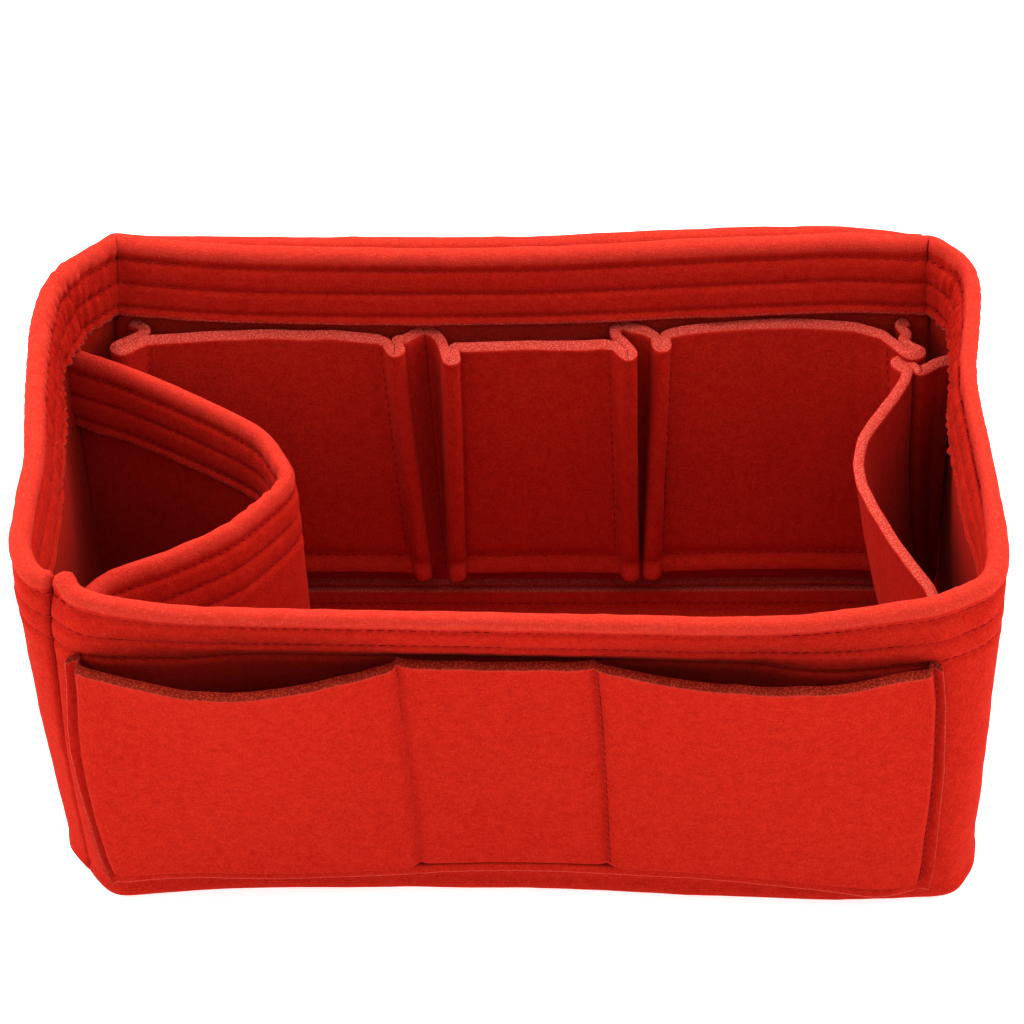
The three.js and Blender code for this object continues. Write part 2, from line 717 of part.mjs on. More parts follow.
const pinnedPockets = {
  inner_pocket_left: [
    onBack,
    [leftGussetShares, leftFaceShares, firstGussetShares],
    [leftRidgeShares, firstRidgeShares],
  ],
  inner_pocket_middle: [
    onBack,
    [secondGussetShares, middleFaceShares, thirdGussetShares],
    [secondRidgeShares, thirdRidgeShares],
  ],
  inner_pocket_right: [
    onBack,
    [fourthGussetShares, rightFaceShares, fifthGussetShares],
    [fourthRidgeShares, fifthRidgeShares],
  ],
  side_pocket: [
    onSide,
    [sideBackGussetShares, sideFaceShares, sideFrontGussetShares],
    [sideBackRidgeShares, sideFrontRidgeShares],
  ],
};

// Rows that hold each pocket: along its foot and up beside each of its two ridges
function faceLine(face, z, wall) {
  return offsetLine(runLine(face, z, wall), -(felt / 2 + clear));
}

function uprightThread(name, wall, pointAt) {
  const foot = wall.row + felt;
  const head = wall.top - felt;
  const heights = [foot, ...seamHeights.filter((z) => z > foot && z < head), head];
  addThread(name, heights.map(pointAt));
}

for (const [name, [wall, sheets, ridges]] of Object.entries(pinnedPockets)) {
  addPiece(name, pinnedPocket(wall, sheets, ridges), feltMaterial);
  const face = sheets[1];
  addThread(name + "_foot_thread", faceLine(face, wall.row, wall).slice(1, -1));
  uprightThread(name + "_ridge_thread_1", wall, (z) => faceLine(face, z, wall)[1]);
  uprightThread(name + "_ridge_thread_2", wall, (z) => faceLine(face, z, wall).at(-2));
}

// Rows down the two valleys between the inner pockets
function valleyPoint([placeTop, placeFoot], z) {
  const rise = (z - onBack.foot) / (onBack.top - onBack.foot);
  return box.point(onBack.placeAt(THREE.MathUtils.lerp(placeFoot, placeTop, rise)), z, felt + clear);
}
for (const [side, shares] of [["left", leftValleyShares], ["right", rightValleyShares]]) {
  uprightThread("inner_pocket_valley_thread_" + side, onBack, (z) => valleyPoint(shares, z));
}

// Bottle cell: a hemmed loop from the front left corner round to the left wall
const cellRoll = new THREE.SplineCurve(
  cellRollShares.map(([x, y]) => new THREE.Vector2(x * rimHalfLength, y * rimHalfWidth)),
).getPoints(2 * cellRollShares.length);
const cellRollOuter = cellRoll.map((point, i) =>
  point.clone().addScaledVector(mitredNormal(cellRoll, i, false), -felt),
);
const cellNoseRim = Math.max(...cellRollOuter.map((point) => point.x));
const cellRimFront = Math.min(...cellRollOuter.map((point) => point.y));
const cellBaseLeft = right - 3 * felt - 2 * seamGap;

function cellFloorPoint(point) {
  const reach = (point.x + rimHalfLength) / (cellNoseRim + rimHalfLength);
  const along = (point.y - cellRimFront) / (cellRimBack - cellRimFront);
  return new THREE.Vector2(
    THREE.MathUtils.lerp(-cellBaseLeft, -cellBaseNose, reach),
    THREE.MathUtils.lerp(-cellBaseFront, cellBaseBack, along),
  );
}

// Place along the left wall of a distance from the middle of the box, at a height
function leftPlace(y, z) {
  const line = baseOutline.slice(sideStart.left).map((_, i) => box.point(sideStart.left + i, z, 0).y);
  const next = line.findIndex((value) => value < y);
  return sideStart.left + next - (y - line[next]) / (line[next - 1] - line[next]);
}

const cellFloor = felt + seamGap;
const cellHeights = [cellFloor, cellTop];
const cellOutlines = cellHeights.map((z, level) => {
  const middle = cellRollOuter.map((point) => (level === 0 ? cellFloorPoint(point) : point));
  const frontX = level === 0 ? cellFrontAtFloor : cellFrontAtRim;
  const backY = level === 0 ? cellBaseBack : cellRimBack;
  const start = box.point(frontPlace(-frontX), z, felt / 2);
  const end = box.point(leftPlace(backY, z), z, felt / 2);
  return [new THREE.Vector2(start.x, start.y), ...middle, new THREE.Vector2(end.x, end.y)];
});
const cell = new Skin(cellHeights, cellOutlines, false);
const cellSection = hemmedSection(cellHeights, cellFloor, cellTop, hemDepth, 0);
const cellPlaces = cellOutlines[0].map((_, place) => place);

// What the walls, the turned edges, the hem and its rows take up, with the seam gap
function wallSpace() {
  const lowLevel = turnedEdge + seamGap;
  const highLevel = hemEdge - seamGap;
  const top = boxHeight + cellCutBeyond;
  const between = (low, high) => box.heights.filter((level) => level > low && level < high);
  const hemInset = 2 * felt + 2 * clear;
  const wallInset = felt + seamGap;
  const lipInset = 3 * felt + seamGap + 2 * clear;
  const section = [
    [-felt, -cellCutBeyond],
    ...between(-cellCutBeyond, top).map((z) => [-felt, z]),
    [-felt, top],
    [hemInset, top],
    ...between(highLevel, top).reverse().map((z) => [hemInset, z]),
    [hemInset, highLevel],
    [wallInset, highLevel],
    ...between(lowLevel, highLevel).reverse().map((z) => [wallInset, z]),
    [wallInset, lowLevel],
    [lipInset, lowLevel],
    [lipInset, -cellCutBeyond],
  ];
  const [before, after] = cellCutStations;
  const places = stationsBetween(sideStart.left + before, stationCount + after);
  return hemmedWall(box, places, section, 0);
}
const cellSolid = toManifold(hemmedWall(cell, cellPlaces, cellSection, 0));
addPiece("bottle_cell_wall", toGeometry(cellSolid.subtract(toManifold(wallSpace()))), feltMaterial);
const cellRun = cellPlaces.slice(1, -1);
rowDepths.forEach((depth, row) => {
  const z = cellTop - depth;
  addThread("bottle_cell_row_outer_" + (row + 1), cellRun.map((place) => cell.point(place, z, -clear)));
  addThread(
    "bottle_cell_row_inner_" + (row + 1),
    cellRun.map((place) => cell.point(place, z, 2 * felt + clear)),
  );
});

export default organizer;
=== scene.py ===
"""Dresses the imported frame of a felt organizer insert: folded walls, pockets, bottle cell and stitching."""

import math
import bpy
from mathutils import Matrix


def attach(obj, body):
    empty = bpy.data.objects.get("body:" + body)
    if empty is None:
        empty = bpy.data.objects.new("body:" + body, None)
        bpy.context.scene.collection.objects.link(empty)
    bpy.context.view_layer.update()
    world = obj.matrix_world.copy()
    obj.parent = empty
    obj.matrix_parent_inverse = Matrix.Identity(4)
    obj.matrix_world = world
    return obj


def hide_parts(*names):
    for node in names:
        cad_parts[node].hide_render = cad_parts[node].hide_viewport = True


bl_info = {
    "name": "Felt Organizer Insert",
    "version": (1, 0, 0),
    "blender": (4, 5, 0),
    "location": "View3D > Sidebar > Organizer",
    "description": "Builds a flared felt organizer insert with folded rim, pockets and stitching",
    "category": "Add Mesh",
}

from itertools import product

import bpy
import numpy as np
from mathutils import Vector
from mathutils.geometry import tessellate_polygon

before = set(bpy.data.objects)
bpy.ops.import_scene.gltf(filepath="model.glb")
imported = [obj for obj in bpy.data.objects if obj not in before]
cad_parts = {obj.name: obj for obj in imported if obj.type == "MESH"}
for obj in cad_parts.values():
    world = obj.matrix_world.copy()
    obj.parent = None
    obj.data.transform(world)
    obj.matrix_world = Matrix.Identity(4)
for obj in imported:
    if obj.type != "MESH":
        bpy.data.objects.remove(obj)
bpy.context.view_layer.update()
MM = 0.001

# Stations round the box, side by side, counted from the upright seam at the front left
SEGMENTS = {"front": 20, "corner": 5, "right": 12, "back": 20, "left": 12, "seam": 4}
# Half the rim's length and width in millimetres, as in the frame's source
RIM_HALF = (147.0, 92.0)
# Crest of the folded rim in shares of that half, as in the frame's source
RIM_SHARES = {
    "front": [
        (-0.915, -0.76), (-0.851, -0.855), (-0.72, -0.912), (-0.539, -0.936), (-0.236, -0.952),
        (0.145, -0.968), (0.334, -0.975), (0.511, -0.968), (0.697, -0.916), (0.789, -0.882),
    ],
    "corner": [
        (0.789, -0.882), (0.837, -0.841), (0.886, -0.793), (0.914, -0.732), (0.927, -0.643),
        (0.932, -0.505),
    ],
    "right": [
        (0.932, -0.505), (0.93, -0.216), (0.924, 0.189), (0.926, 0.334), (0.94, 0.486),
        (0.957, 0.66), (0.967, 0.807), (0.961, 0.927), (0.932, 1.007), (0.888, 1.061),
    ],
    "back": [
        (0.888, 1.061), (0.714, 1.086), (0.56, 1.071), (0.384, 1.049), (0.166, 1.015),
        (-0.009, 0.997), (-0.27, 0.993), (-0.532, 1.003), (-0.707, 1.024), (-0.899, 1.074),
    ],
    "left": [
        (-0.899, 1.074), (-0.946, 1.0), (-0.994, 0.915), (-1.026, 0.783), (-1.034, 0.63),
        (-1.029, 0.412), (-1.011, 0.059), (-1.0, -0.143), (-1.0, -0.375), (-0.998, -0.56),
    ],
    "seam": [
        (-0.998, -0.56), (-0.993, -0.614), (-0.973, -0.702), (-0.945, -0.755), (-0.915, -0.76),
    ],
}
# Crest of the bottle cell's rim, in the same shares
CELL_SHARES = [
    (-0.872, -0.5), (-0.838, -0.436), (-0.726, -0.332), (-0.617, -0.203), (-0.55, -0.062),
    (-0.516, 0.021), (-0.5, 0.083), (-0.516, 0.166), (-0.562, 0.31), (-0.646, 0.426),
    (-0.772, 0.568), (-0.904, 0.701),
]
# How far below a rim each row of stitches runs, and the clearance between pieces, in millimetres
ROW_DEPTHS = (6.3, 14.1, 21.9)
GAP = 0.3

# Pinned pockets: the place along the wall at mouth and foot, then how far it stands off at mouth and foot,
# in shares of the wall's length and the pocket's depth. Eight numbers are a ridge: its root, then its tip
INNER_PATH = [
    (-0.955, -0.925, -0.05, 0), (-0.93, -0.925, 0.06, 0.04), (-0.91, -0.925, 0.3, 0.12),
    (-0.915, -0.92, 0.62, 0.26, -0.955, -0.945, 1.12, 0.5),
    (-0.885, -0.877, 0.6, 0.26), (-0.78, -0.75, 0.36, 0.24), (-0.62, -0.59, 0.16, 0.22),
    (-0.46, -0.41, 0.16, 0.22), (-0.35, -0.29, 0.27, 0.24),
    (-0.318, -0.25, 0.36, 0.25, -0.302, -0.236, 0.8, 0.56),
    (-0.285, -0.226, 0.3, 0.14), (-0.262, -0.212, 0.08, 0.04),
    (-0.238, -0.19, -0.12, -0.08),
    (-0.215, -0.175, 0.02, 0.02), (-0.2, -0.17, 0.25, 0.12),
    (-0.178, -0.162, 0.64, 0.28, -0.17, -0.158, 1.14, 0.6),
    (-0.14, -0.128, 0.62, 0.26), (0.039, 0.047, 0.56, 0.24), (0.195, 0.21, 0.62, 0.26),
    (0.232, 0.25, 0.68, 0.27, 0.252, 0.262, 1.08, 0.6),
    (0.226, 0.246, 0.36, 0.14), (0.222, 0.255, 0.08, 0.03),
    (0.242, 0.272, -0.12, -0.08),
    (0.268, 0.289, 0.04, 0.02), (0.3, 0.299, 0.16, 0.1),
    (0.332, 0.311, 0.36, 0.27, 0.333, 0.309, 0.82, 0.56),
    (0.366, 0.342, 0.26, 0.24), (0.49, 0.48, 0.1, 0.2), (0.68, 0.67, 0.1, 0.2),
    (0.82, 0.81, 0.34, 0.24), (0.885, 0.88, 0.62, 0.28),
    (0.922, 0.918, 0.86, 0.3, 0.953, 0.948, 1.28, 0.55),
    (0.94, 0.935, 0.5, 0.16), (0.925, 0.925, 0.15, 0.06), (0.945, 0.935, -0.05, 0),
]
SIDE_PATH = [
    (0.85, 0.85, 0, 0), (0.83, 0.84, 0.2, 0.05), (0.79, 0.81, 0.38, 0.08),
    (0.797, 0.797, 0.46, 0.14, 0.838, 0.83, 0.6, 0.2),
    (0.75, 0.75, 0.53, 0.145), (0.675, 0.675, 0.64, 0.15), (0.585, 0.585, 0.81, 0.16),
    (0.525, 0.525, 0.915, 0.16), (0.46, 0.46, 0.975, 0.16), (0.39, 0.39, 0.975, 0.16),
    (0.3, 0.3, 0.89, 0.16), (0.195, 0.195, 0.745, 0.16), (0.095, 0.095, 0.585, 0.15),
    (0.04, 0.04, 0.48, 0.14),
    (0.003, 0.003, 0.4, 0.13, -0.05, -0.04, 0.44, 0.19),
    (0.03, 0.02, 0.22, 0.07), (0.02, 0.01, 0, 0),
]
# Foot of the walls in shares of half the base: the felt bulges a little past it, most of all at the front
FOOT_SHARES = {
    "front": [
        (-0.925, -1.006), (-0.9, -1.042), (-0.865, -1.047), (-0.835, -1.04), (-0.76, -1.022),
        (-0.66, -1.004), (-0.5, -0.993), (-0.23, -0.992), (-0.05, -0.996), (0.12, -1.007), (0.3, -1.03),
        (0.475, -1.051), (0.65, -1.068), (0.74, -1.069), (0.83, -1.063), (0.897, -1.053),
    ],
    "corner": [(0.897, -1.053), (0.938, -1.032), (0.967, -0.976), (0.991, -0.882), (1.004, -0.755)],
    "right": [(1.004, -0.755), (1.007, -0.3), (1.0, 1.0)],
    "back": [(1.0, 1.0), (-1.0, 1.0)],
    "left": [(-1.0, 1.0), (-1.005, 0.4), (-1.018, -0.3), (-1.018, -0.66)],
    "seam": [(-1.018, -0.66), (-1.006, -0.772), (-0.972, -0.868), (-0.925, -1.006)],
}


# Sizes and colours

def length(name, description, default_mm, low_mm=0.0, high_mm=1000.0):
    return bpy.props.FloatProperty(
        name=name, description=description, default=default_mm * MM,
        min=low_mm * MM, max=high_mm * MM, unit="LENGTH", precision=5,
    )


def colour(name, description, default):
    return bpy.props.FloatVectorProperty(
        name=name, description=description, default=default, size=3, min=0.0, max=1.0, subtype="COLOR",
    )


def power(name, description, default):
    return bpy.props.FloatProperty(name=name, description=description, default=default, min=0.0, unit="POWER")


class OrganizerSizes(bpy.types.PropertyGroup):
    """Sizes of the felt box and of its sewing."""

    felt: length("Felt", "Thickness of the felt", 3.0, 1.0, 6.0)
    height: length("Height", "Height of the box over its rim", 130.5, 60.0, 300.0)
    base_length: length("Base length", "Length of the base", 280.0, 100.0, 600.0)
    base_width: length("Base width", "Width of the base", 137.0, 60.0, 300.0)
    hem: length("Hem", "Depth of the folded hem inside the rim", 24.6, 5.0, 60.0)
    turned: length("Turned edge", "Height of the wall's turned foot", 11.5, 0.0, 30.0)
    lip: length("Base lip", "Height of the base's turned up edge", 11.0, 3.0, 30.0)
    roll_swell: length("Roll swell", "How far the folded rim swells past the felt", 0.3, 0.0, 2.0)
    groove: length("Row groove", "How deep a row of stitching sinks", 0.75, 0.0, 2.0)
    pit: length("Needle pit", "Extra depth at each needle hole", 0.3, 0.0, 1.0)
    pitch: length("Stitch pitch", "Length of one stitch", 3.0, 1.0, 8.0)
    thread: length("Thread radius", "Radius of the sewing thread", 0.3, 0.1, 1.0)
    uneven: length("Unevenness", "How much the felt's surface wanders", 0.4, 0.0, 2.0)


class FeltColours(bpy.types.PropertyGroup):
    """Colours of the felt, its cut edges and its thread."""

    felt: colour("Felt", "Colour of the felt's face", (0.575, 0.043, 0.021))
    shade: colour("Shaded fibres", "Colour between the fibres", (0.45, 0.016, 0.008))
    # The raised fibres' colour is also the colour of the painted highlight on the rolls and on the front
    # pocket's lip
    light: colour("Raised fibres", "Colour of the fibres that stand proud", (0.84, 0.17, 0.12))
    cut: colour("Cut edge", "Colour of a cut edge", (0.78, 0.205, 0.155))
    thread: colour("Thread", "Colour of the sewing thread", (0.44, 0.016, 0.01))


class StudioSettings(bpy.types.PropertyGroup):
    """Floor and light."""

    floor: colour("Floor", "Colour of the floor", (0.6, 0.6, 0.6))
    glow: bpy.props.FloatProperty(name="Glow", description="Light that the floor gives off", default=0.78)
    sky: bpy.props.FloatProperty(name="Sky", description="Strength of the even light", default=0.95)
    back_left: power("Back left", "Power of the light behind on the left", 14.5)
    back_right: power("Back right", "Power of the light behind on the right", 11.0)
    right: power("Right", "Power of the light on the right", 9.0)
    left: power("Left", "Power of the light on the left", 7.0)
    contrast: bpy.props.FloatProperty(
        name="Contrast", description="How much darker the dark parts look", default=1.4, min=0.1
    )


def sizes():
    """The box's sizes in millimetres."""
    held = bpy.context.scene.organizer_sizes
    return {key: getattr(held, key) / MM for key in OrganizerSizes.__annotations__}


# Lines and surfaces

def spaced(line, count):
    """Count plus one points, evenly spaced along a line."""
    steps = np.linalg.norm(np.diff(line, axis=0), axis=1)
    run = np.concatenate(([0.0], np.cumsum(steps)))
    wanted = np.linspace(0.0, run[-1], count + 1)
    return np.column_stack([np.interp(wanted, run, line[:, k]) for k in range(line.shape[1])])


def spline(points, per=24):
    """Smooth line through points."""
    p = np.asarray(points, float)
    t = np.linspace(0.0, 1.0, per, endpoint=False)[:, None]
    parts = []
    for i in range(len(p) - 1):
        before, here, there, after = p[max(i - 1, 0)], p[i], p[i + 1], p[min(i + 2, len(p) - 1)]
        leave, arrive = (there - before) / 2, (after - here) / 2
        cubic = (2 * here - 2 * there + leave + arrive) * t**3
        square = (3 * there - 3 * here - 2 * leave - arrive) * t**2
        parts.append(cubic + square + leave * t + here)
    return np.vstack([*parts, p[-1:]])


def softened(line, sigma, closed):
    """Line with its corners rounded by a bell-shaped mean over sigma points."""
    reach = int(3 * sigma) + 1
    weight = np.exp(-0.5 * (np.arange(-reach, reach + 1) / sigma) ** 2)
    weight /= weight.sum()
    wide = np.pad(line, ((reach, reach), (0, 0)), mode="wrap" if closed else "edge")
    return np.column_stack([np.convolve(wide[:, k], weight, mode="valid") for k in range(line.shape[1])])


def left_normals(line, closed):
    """Unit vectors square to a plan line, to the left of its run."""
    if closed:
        run = np.roll(line, -1, axis=0) - np.roll(line, 1, axis=0)
    else:
        run = np.gradient(line, axis=0)
    run /= np.linalg.norm(run, axis=1)[:, None] + 1e-12
    return np.column_stack([-run[:, 1], run[:, 0]])


def bell(x, width):
    return np.exp(-((x / width) ** 2))


def ease(x):
    """Smooth step from nought to one."""
    x = np.clip(x, 0.0, 1.0)
    return x * x * (3 - 2 * x)


def zone(x, first, rise, last, fall):
    """One from first to last, easing in over rise and out over fall."""
    return ease((x - first) / rise) * (1 - ease((x - last) / fall))


def from_to(x, start):
    """Nought below a start, easing to one over a distance: start is the pair of both."""
    return ease((x - start[0]) / start[1])


def near_top(z, top, depth, over):
    """Nought further than depth below the top, easing to one over a distance upwards."""
    return ease((z - top + depth) / over)


def value_noise(points, scale, seed=0):
    """Smooth random value from minus one to one at each point, with features of one scale."""
    p = np.asarray(points, float) / scale
    cell = np.floor(p).astype(np.int64)
    part = ease(p - cell)
    total = np.zeros(p.shape[:-1])
    for corner in product((0, 1), repeat=3):
        at = cell + np.array(corner)
        key = (at[..., 0] * 73856093) ^ (at[..., 1] * 19349663) ^ (at[..., 2] * 83492791) ^ (seed * 97531)
        key &= 0xFFFFFFFF
        key = ((key ^ (key >> 13)) * 1274126177) & 0xFFFFFFFF
        key = ((key ^ (key >> 16)) * 2246822519) & 0xFFFFFFFF
        value = (key ^ (key >> 15)) / 2147483647.5 - 1.0
        weight = np.prod(np.where(np.array(corner) == 1, part, 1 - part), axis=-1)
        total += value * weight
    return total


def wander(points, amount, seed):
    """Unevenness of felt: broad, middling and fine."""
    broad = value_noise(points, 17.0, seed)
    middling = value_noise(points, 6.0, seed + 1)
    fine = value_noise(points, 2.3, seed + 2)
    return amount * (0.75 * broad + 0.35 * middling + 0.14 * fine)


class Skin:
    """A standing surface between a plan line at its foot and another at its top."""

    def __init__(self, places, foot, top, foot_height, top_height, curl=None, period=None):
        self.places, self.foot, self.top = places, foot, top
        self.foot_height, self.top_height = foot_height, top_height
        self.curl = np.zeros(len(places)) if curl is None else curl
        self.period = period

    def look_up(self, place, values):
        return np.interp(place, self.places, values, period=self.period)

    def plan(self, place, z):
        share = (z - self.foot_height) / (self.top_height - self.foot_height)
        curl = self.look_up(place, self.curl)
        curled = 0.7 * share + 0.3 * np.abs(share) ** 4
        reach = share + (curled - share) * curl
        x = self.look_up(place, self.foot[:, 0])
        y = self.look_up(place, self.foot[:, 1])
        x = x + (self.look_up(place, self.top[:, 0]) - x) * reach
        y = y + (self.look_up(place, self.top[:, 1]) - y) * reach
        return x, y

    def at(self, place, z, inset, step=0.12):
        """Points at places, heights and distances in from the outer face."""
        place, z, inset = np.broadcast_arrays(
            np.asarray(place, float), np.asarray(z, float), np.asarray(inset, float)
        )
        low, high = place - step, place + step
        if self.period is None:
            low, high = np.maximum(low, self.places[0]), np.minimum(high, self.places[-1])
        x, y = self.plan(place, z)
        x0, y0 = self.plan(low, z)
        x1, y1 = self.plan(high, z)
        long = np.hypot(x1 - x0, y1 - y0) + 1e-9
        return np.stack([x - (y1 - y0) / long * inset, y + (x1 - x0) / long * inset, z], axis=-1)


# How the box's lines are drawn: points to a station, and over how many points each is rounded
PER_STATION = 40
ROUNDING = {"foot": 5.0, "rim": 6.0, "rim_normal": 14.0, "pin_normal": 30.0}
# How far each back corner is pinned outwards in millimetres, and over how much of a station
CORNER_PINS = {"back": 1.5, "left": 0.9}
PIN_WIDTH = 0.35
# How many stations the upright seam turns round its corner at the foot, and how far round that is felt
SEAM_TURN, SEAM_REACH = 1.4, 7.0
# Bulges of the front corners: millimetres out, then the station and its width, or a zone of stations
LEFT_BULGES = ((2.5, 0.9, 1.1), (1.5, -1.7, 1.7))
RIGHT_BULGE = (2.4, (15.8, 2.6, 21.2, 2.6))
BULGE_DEPTHS = (4.0, 14.0, 60.0, 68.0)
# Where a wall is pressed in below its hem: millimetres in, its zone of stations, and at which depths
DENTS = (
    (3.0, (2.6, 2.2, 15.2, 2.0), (15.5, 6.5)),
    (2.5, (60.0, 3.5, 68.0, 2.0), (4.0, 20.0)),
    (1.6, (25.5, 2.0, 34.5, 2.5), (4.0, 20.0)),
)
DENT_FADE = (45.0, 50.0)


def side_starts():
    starts, total = {}, 0
    for side, count in SEGMENTS.items():
        starts[side] = total
        total += count
    return starts, total


STARTS, STATIONS = side_starts()


def base_sides(s):
    half = np.array([s["base_length"], s["base_width"]]) / 2
    return {side: spline(np.array(shares) * half) for side, shares in FOOT_SHARES.items()}


def box_skin(s):
    """The box's outer face, all round."""
    places, foot, top, curl = [], [], [], []
    bases = base_sides(s)
    for side, count in SEGMENTS.items():
        n = count * PER_STATION
        places.append(STARTS[side] + np.arange(n) / PER_STATION)
        foot.append(spaced(bases[side], n)[:-1])
        rim = spline(np.array(RIM_SHARES[side]) * np.array(RIM_HALF))
        top.append(spaced(rim, n)[:-1])
        along = np.arange(n) / n
        curl.append(np.sqrt(np.sin(np.pi * along)) if side == "front" else np.zeros(n))
    places, foot, top = np.concatenate(places), np.vstack(foot), np.vstack(top)
    foot, top = softened(foot, ROUNDING["foot"], True), softened(top, ROUNDING["rim"], True)
    top = top - left_normals(softened(top, ROUNDING["rim_normal"], True), True) * s["felt"]
    for side, out in CORNER_PINS.items():
        off = (places - STARTS[side] + STATIONS / 2) % STATIONS - STATIONS / 2
        pinned = (out * bell(off, PIN_WIDTH))[:, None]
        top = top - left_normals(softened(top, ROUNDING["pin_normal"], True), True) * pinned
    return Skin(places, foot, top, 0.0, s["height"], np.concatenate(curl), float(STATIONS))


def front_place(s, x):
    half = s["base_length"] / 2
    first, last = FOOT_SHARES["front"][0][0] * half, FOOT_SHARES["front"][-1][0] * half
    return SEGMENTS["front"] * (np.asarray(x) - first) / (last - first)


def seam_shift(place, share):
    """How far the strip's end seam and what lies near it turn round the corner towards the foot."""
    off = np.minimum(place % STATIONS, (-place) % STATIONS)
    return -SEAM_TURN * (1 - share) * ease(1 - off / SEAM_REACH)


def corner_bulge(s, place, z):
    """How far the wall bulges out past its skin at the two front corners."""
    depth = s["height"] - z
    near = place % STATIONS
    near = np.where(near > STATIONS / 2, near - STATIONS, near)
    left = sum(out * bell(near - station, width) for out, station, width in LEFT_BULGES)
    right = RIGHT_BULGE[0] * zone(near, *RIGHT_BULGE[1])
    return (left + right) * zone(depth, *BULGE_DEPTHS)


def band_dent(s, place, z):
    """How far the front, left and right walls are pressed in below their folded bands."""
    depth = s["height"] - z
    near = place % STATIONS
    below = sum(
        pressed * zone(near, *stations) * from_to(depth, start) for pressed, stations, start in DENTS
    )
    return below * (1 - from_to(depth, DENT_FADE))


def back_place(s, x):
    return STARTS["back"] + SEGMENTS["back"] * (s["base_length"] / 2 - np.asarray(x)) / s["base_length"]


def right_place(share):
    return STARTS["right"] + SEGMENTS["right"] * np.asarray(share)


def places_by_length(skin, first, last, z, inset, step):
    """Places from first to last, evenly spaced by length at one height."""
    dense = np.linspace(first, last, 6000)
    line = skin.at(dense, z, inset)[:, :2]
    run = np.concatenate(([0.0], np.cumsum(np.linalg.norm(np.diff(line, axis=0), axis=1))))
    count = max(2, int(round(run[-1] / step)))
    return np.interp(np.linspace(0.0, run[-1], count + 1), run, dense)


# Meshes

def mesh_piece(name, points, faces, material, replaced, masks=None):
    """Object in metres from points in millimetres, that rides on the part and stands for CAD nodes."""
    corners = np.array([[f[0], f[1], f[2]] for f in faces])
    a, b, c = (points[corners[:, k]] for k in range(3))
    fourth = np.array([[f[0], f[2], f[3]] for f in faces if len(f) == 4])
    volume = np.einsum("ij,ij->", a, np.cross(b, c))
    if len(fourth):
        a, b, c = (points[fourth[:, k]] for k in range(3))
        volume += np.einsum("ij,ij->", a, np.cross(b, c))
    if volume < 0:
        faces = [tuple(reversed(f)) for f in faces]
    mesh = bpy.data.meshes.new(name)
    mesh.from_pydata((points * MM).tolist(), [], [tuple(int(i) for i in f) for f in faces])
    mesh.polygons.foreach_set("use_smooth", np.ones(len(mesh.polygons), bool))
    for key, values in (masks or {}).items():
        mesh.attributes.new(key, "FLOAT", "POINT").data.foreach_set("value", np.asarray(values, np.float32))
    mesh.validate()
    mesh.update()
    piece = bpy.data.objects.new(name, mesh)
    bpy.context.scene.collection.objects.link(piece)
    mesh.materials.append(material)
    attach(piece, "root")
    if replaced:
        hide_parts(*replaced)
    return piece


def ring_faces(columns, size, outline, closed=False):
    """Faces between rings of one size, with the first and last ring filled where the run is open."""
    faces = []
    last = columns if closed else columns - 1
    for column in range(last):
        a, b = column * size, ((column + 1) % columns) * size
        faces.extend((a + k, b + k, b + (k + 1) % size, a + (k + 1) % size) for k in range(size))
    if not closed:
        flat = [Vector((float(u), float(v), 0.0)) for u, v in outline]
        turn = sum(
            flat[k].x * flat[(k + 1) % size].y - flat[(k + 1) % size].x * flat[k].y for k in range(size)
        )
        for i, j, k in tessellate_polygon([flat]):
            p, q, r = flat[i], flat[j], flat[k]
            same = ((q - p).cross(r - p).z > 0) == (turn > 0)
            i, j, k = (i, j, k) if same else (i, k, j)
            faces.append((i, j, k))
            end = (columns - 1) * size
            faces.append((end + i, end + k, end + j))
    return faces


def near_rows(rows, low, high, step):
    """Heights from low to high, closer together at each row of stitching."""
    heights = list(np.arange(low, high, step))
    for row in rows:
        heights = [z for z in heights if abs(z - row) > 1.9]
        heights += [row + d for d in (-1.5, -0.75, 0.0, 0.75, 1.5) if low < row + d < high]
    return np.array(sorted(heights))


# A folded hem in millimetres: rounding of a cut edge, swell between rows, how far the hem shows through below
# its edge, and how far its edge stands off the wall
HEM = {"edge": 0.35, "quilt": 0.2, "shows_below": 2.5, "stands_off": 0.35}
# The seam at the foot sinks into the wall at one height and the felt under it swells at another
FOOT_SEAM = {"deep": 0.5, "at": 7.0, "wide": 1.3, "swell_at": 3.5, "swell_wide": 2.0}
ROLL_STEPS = 15


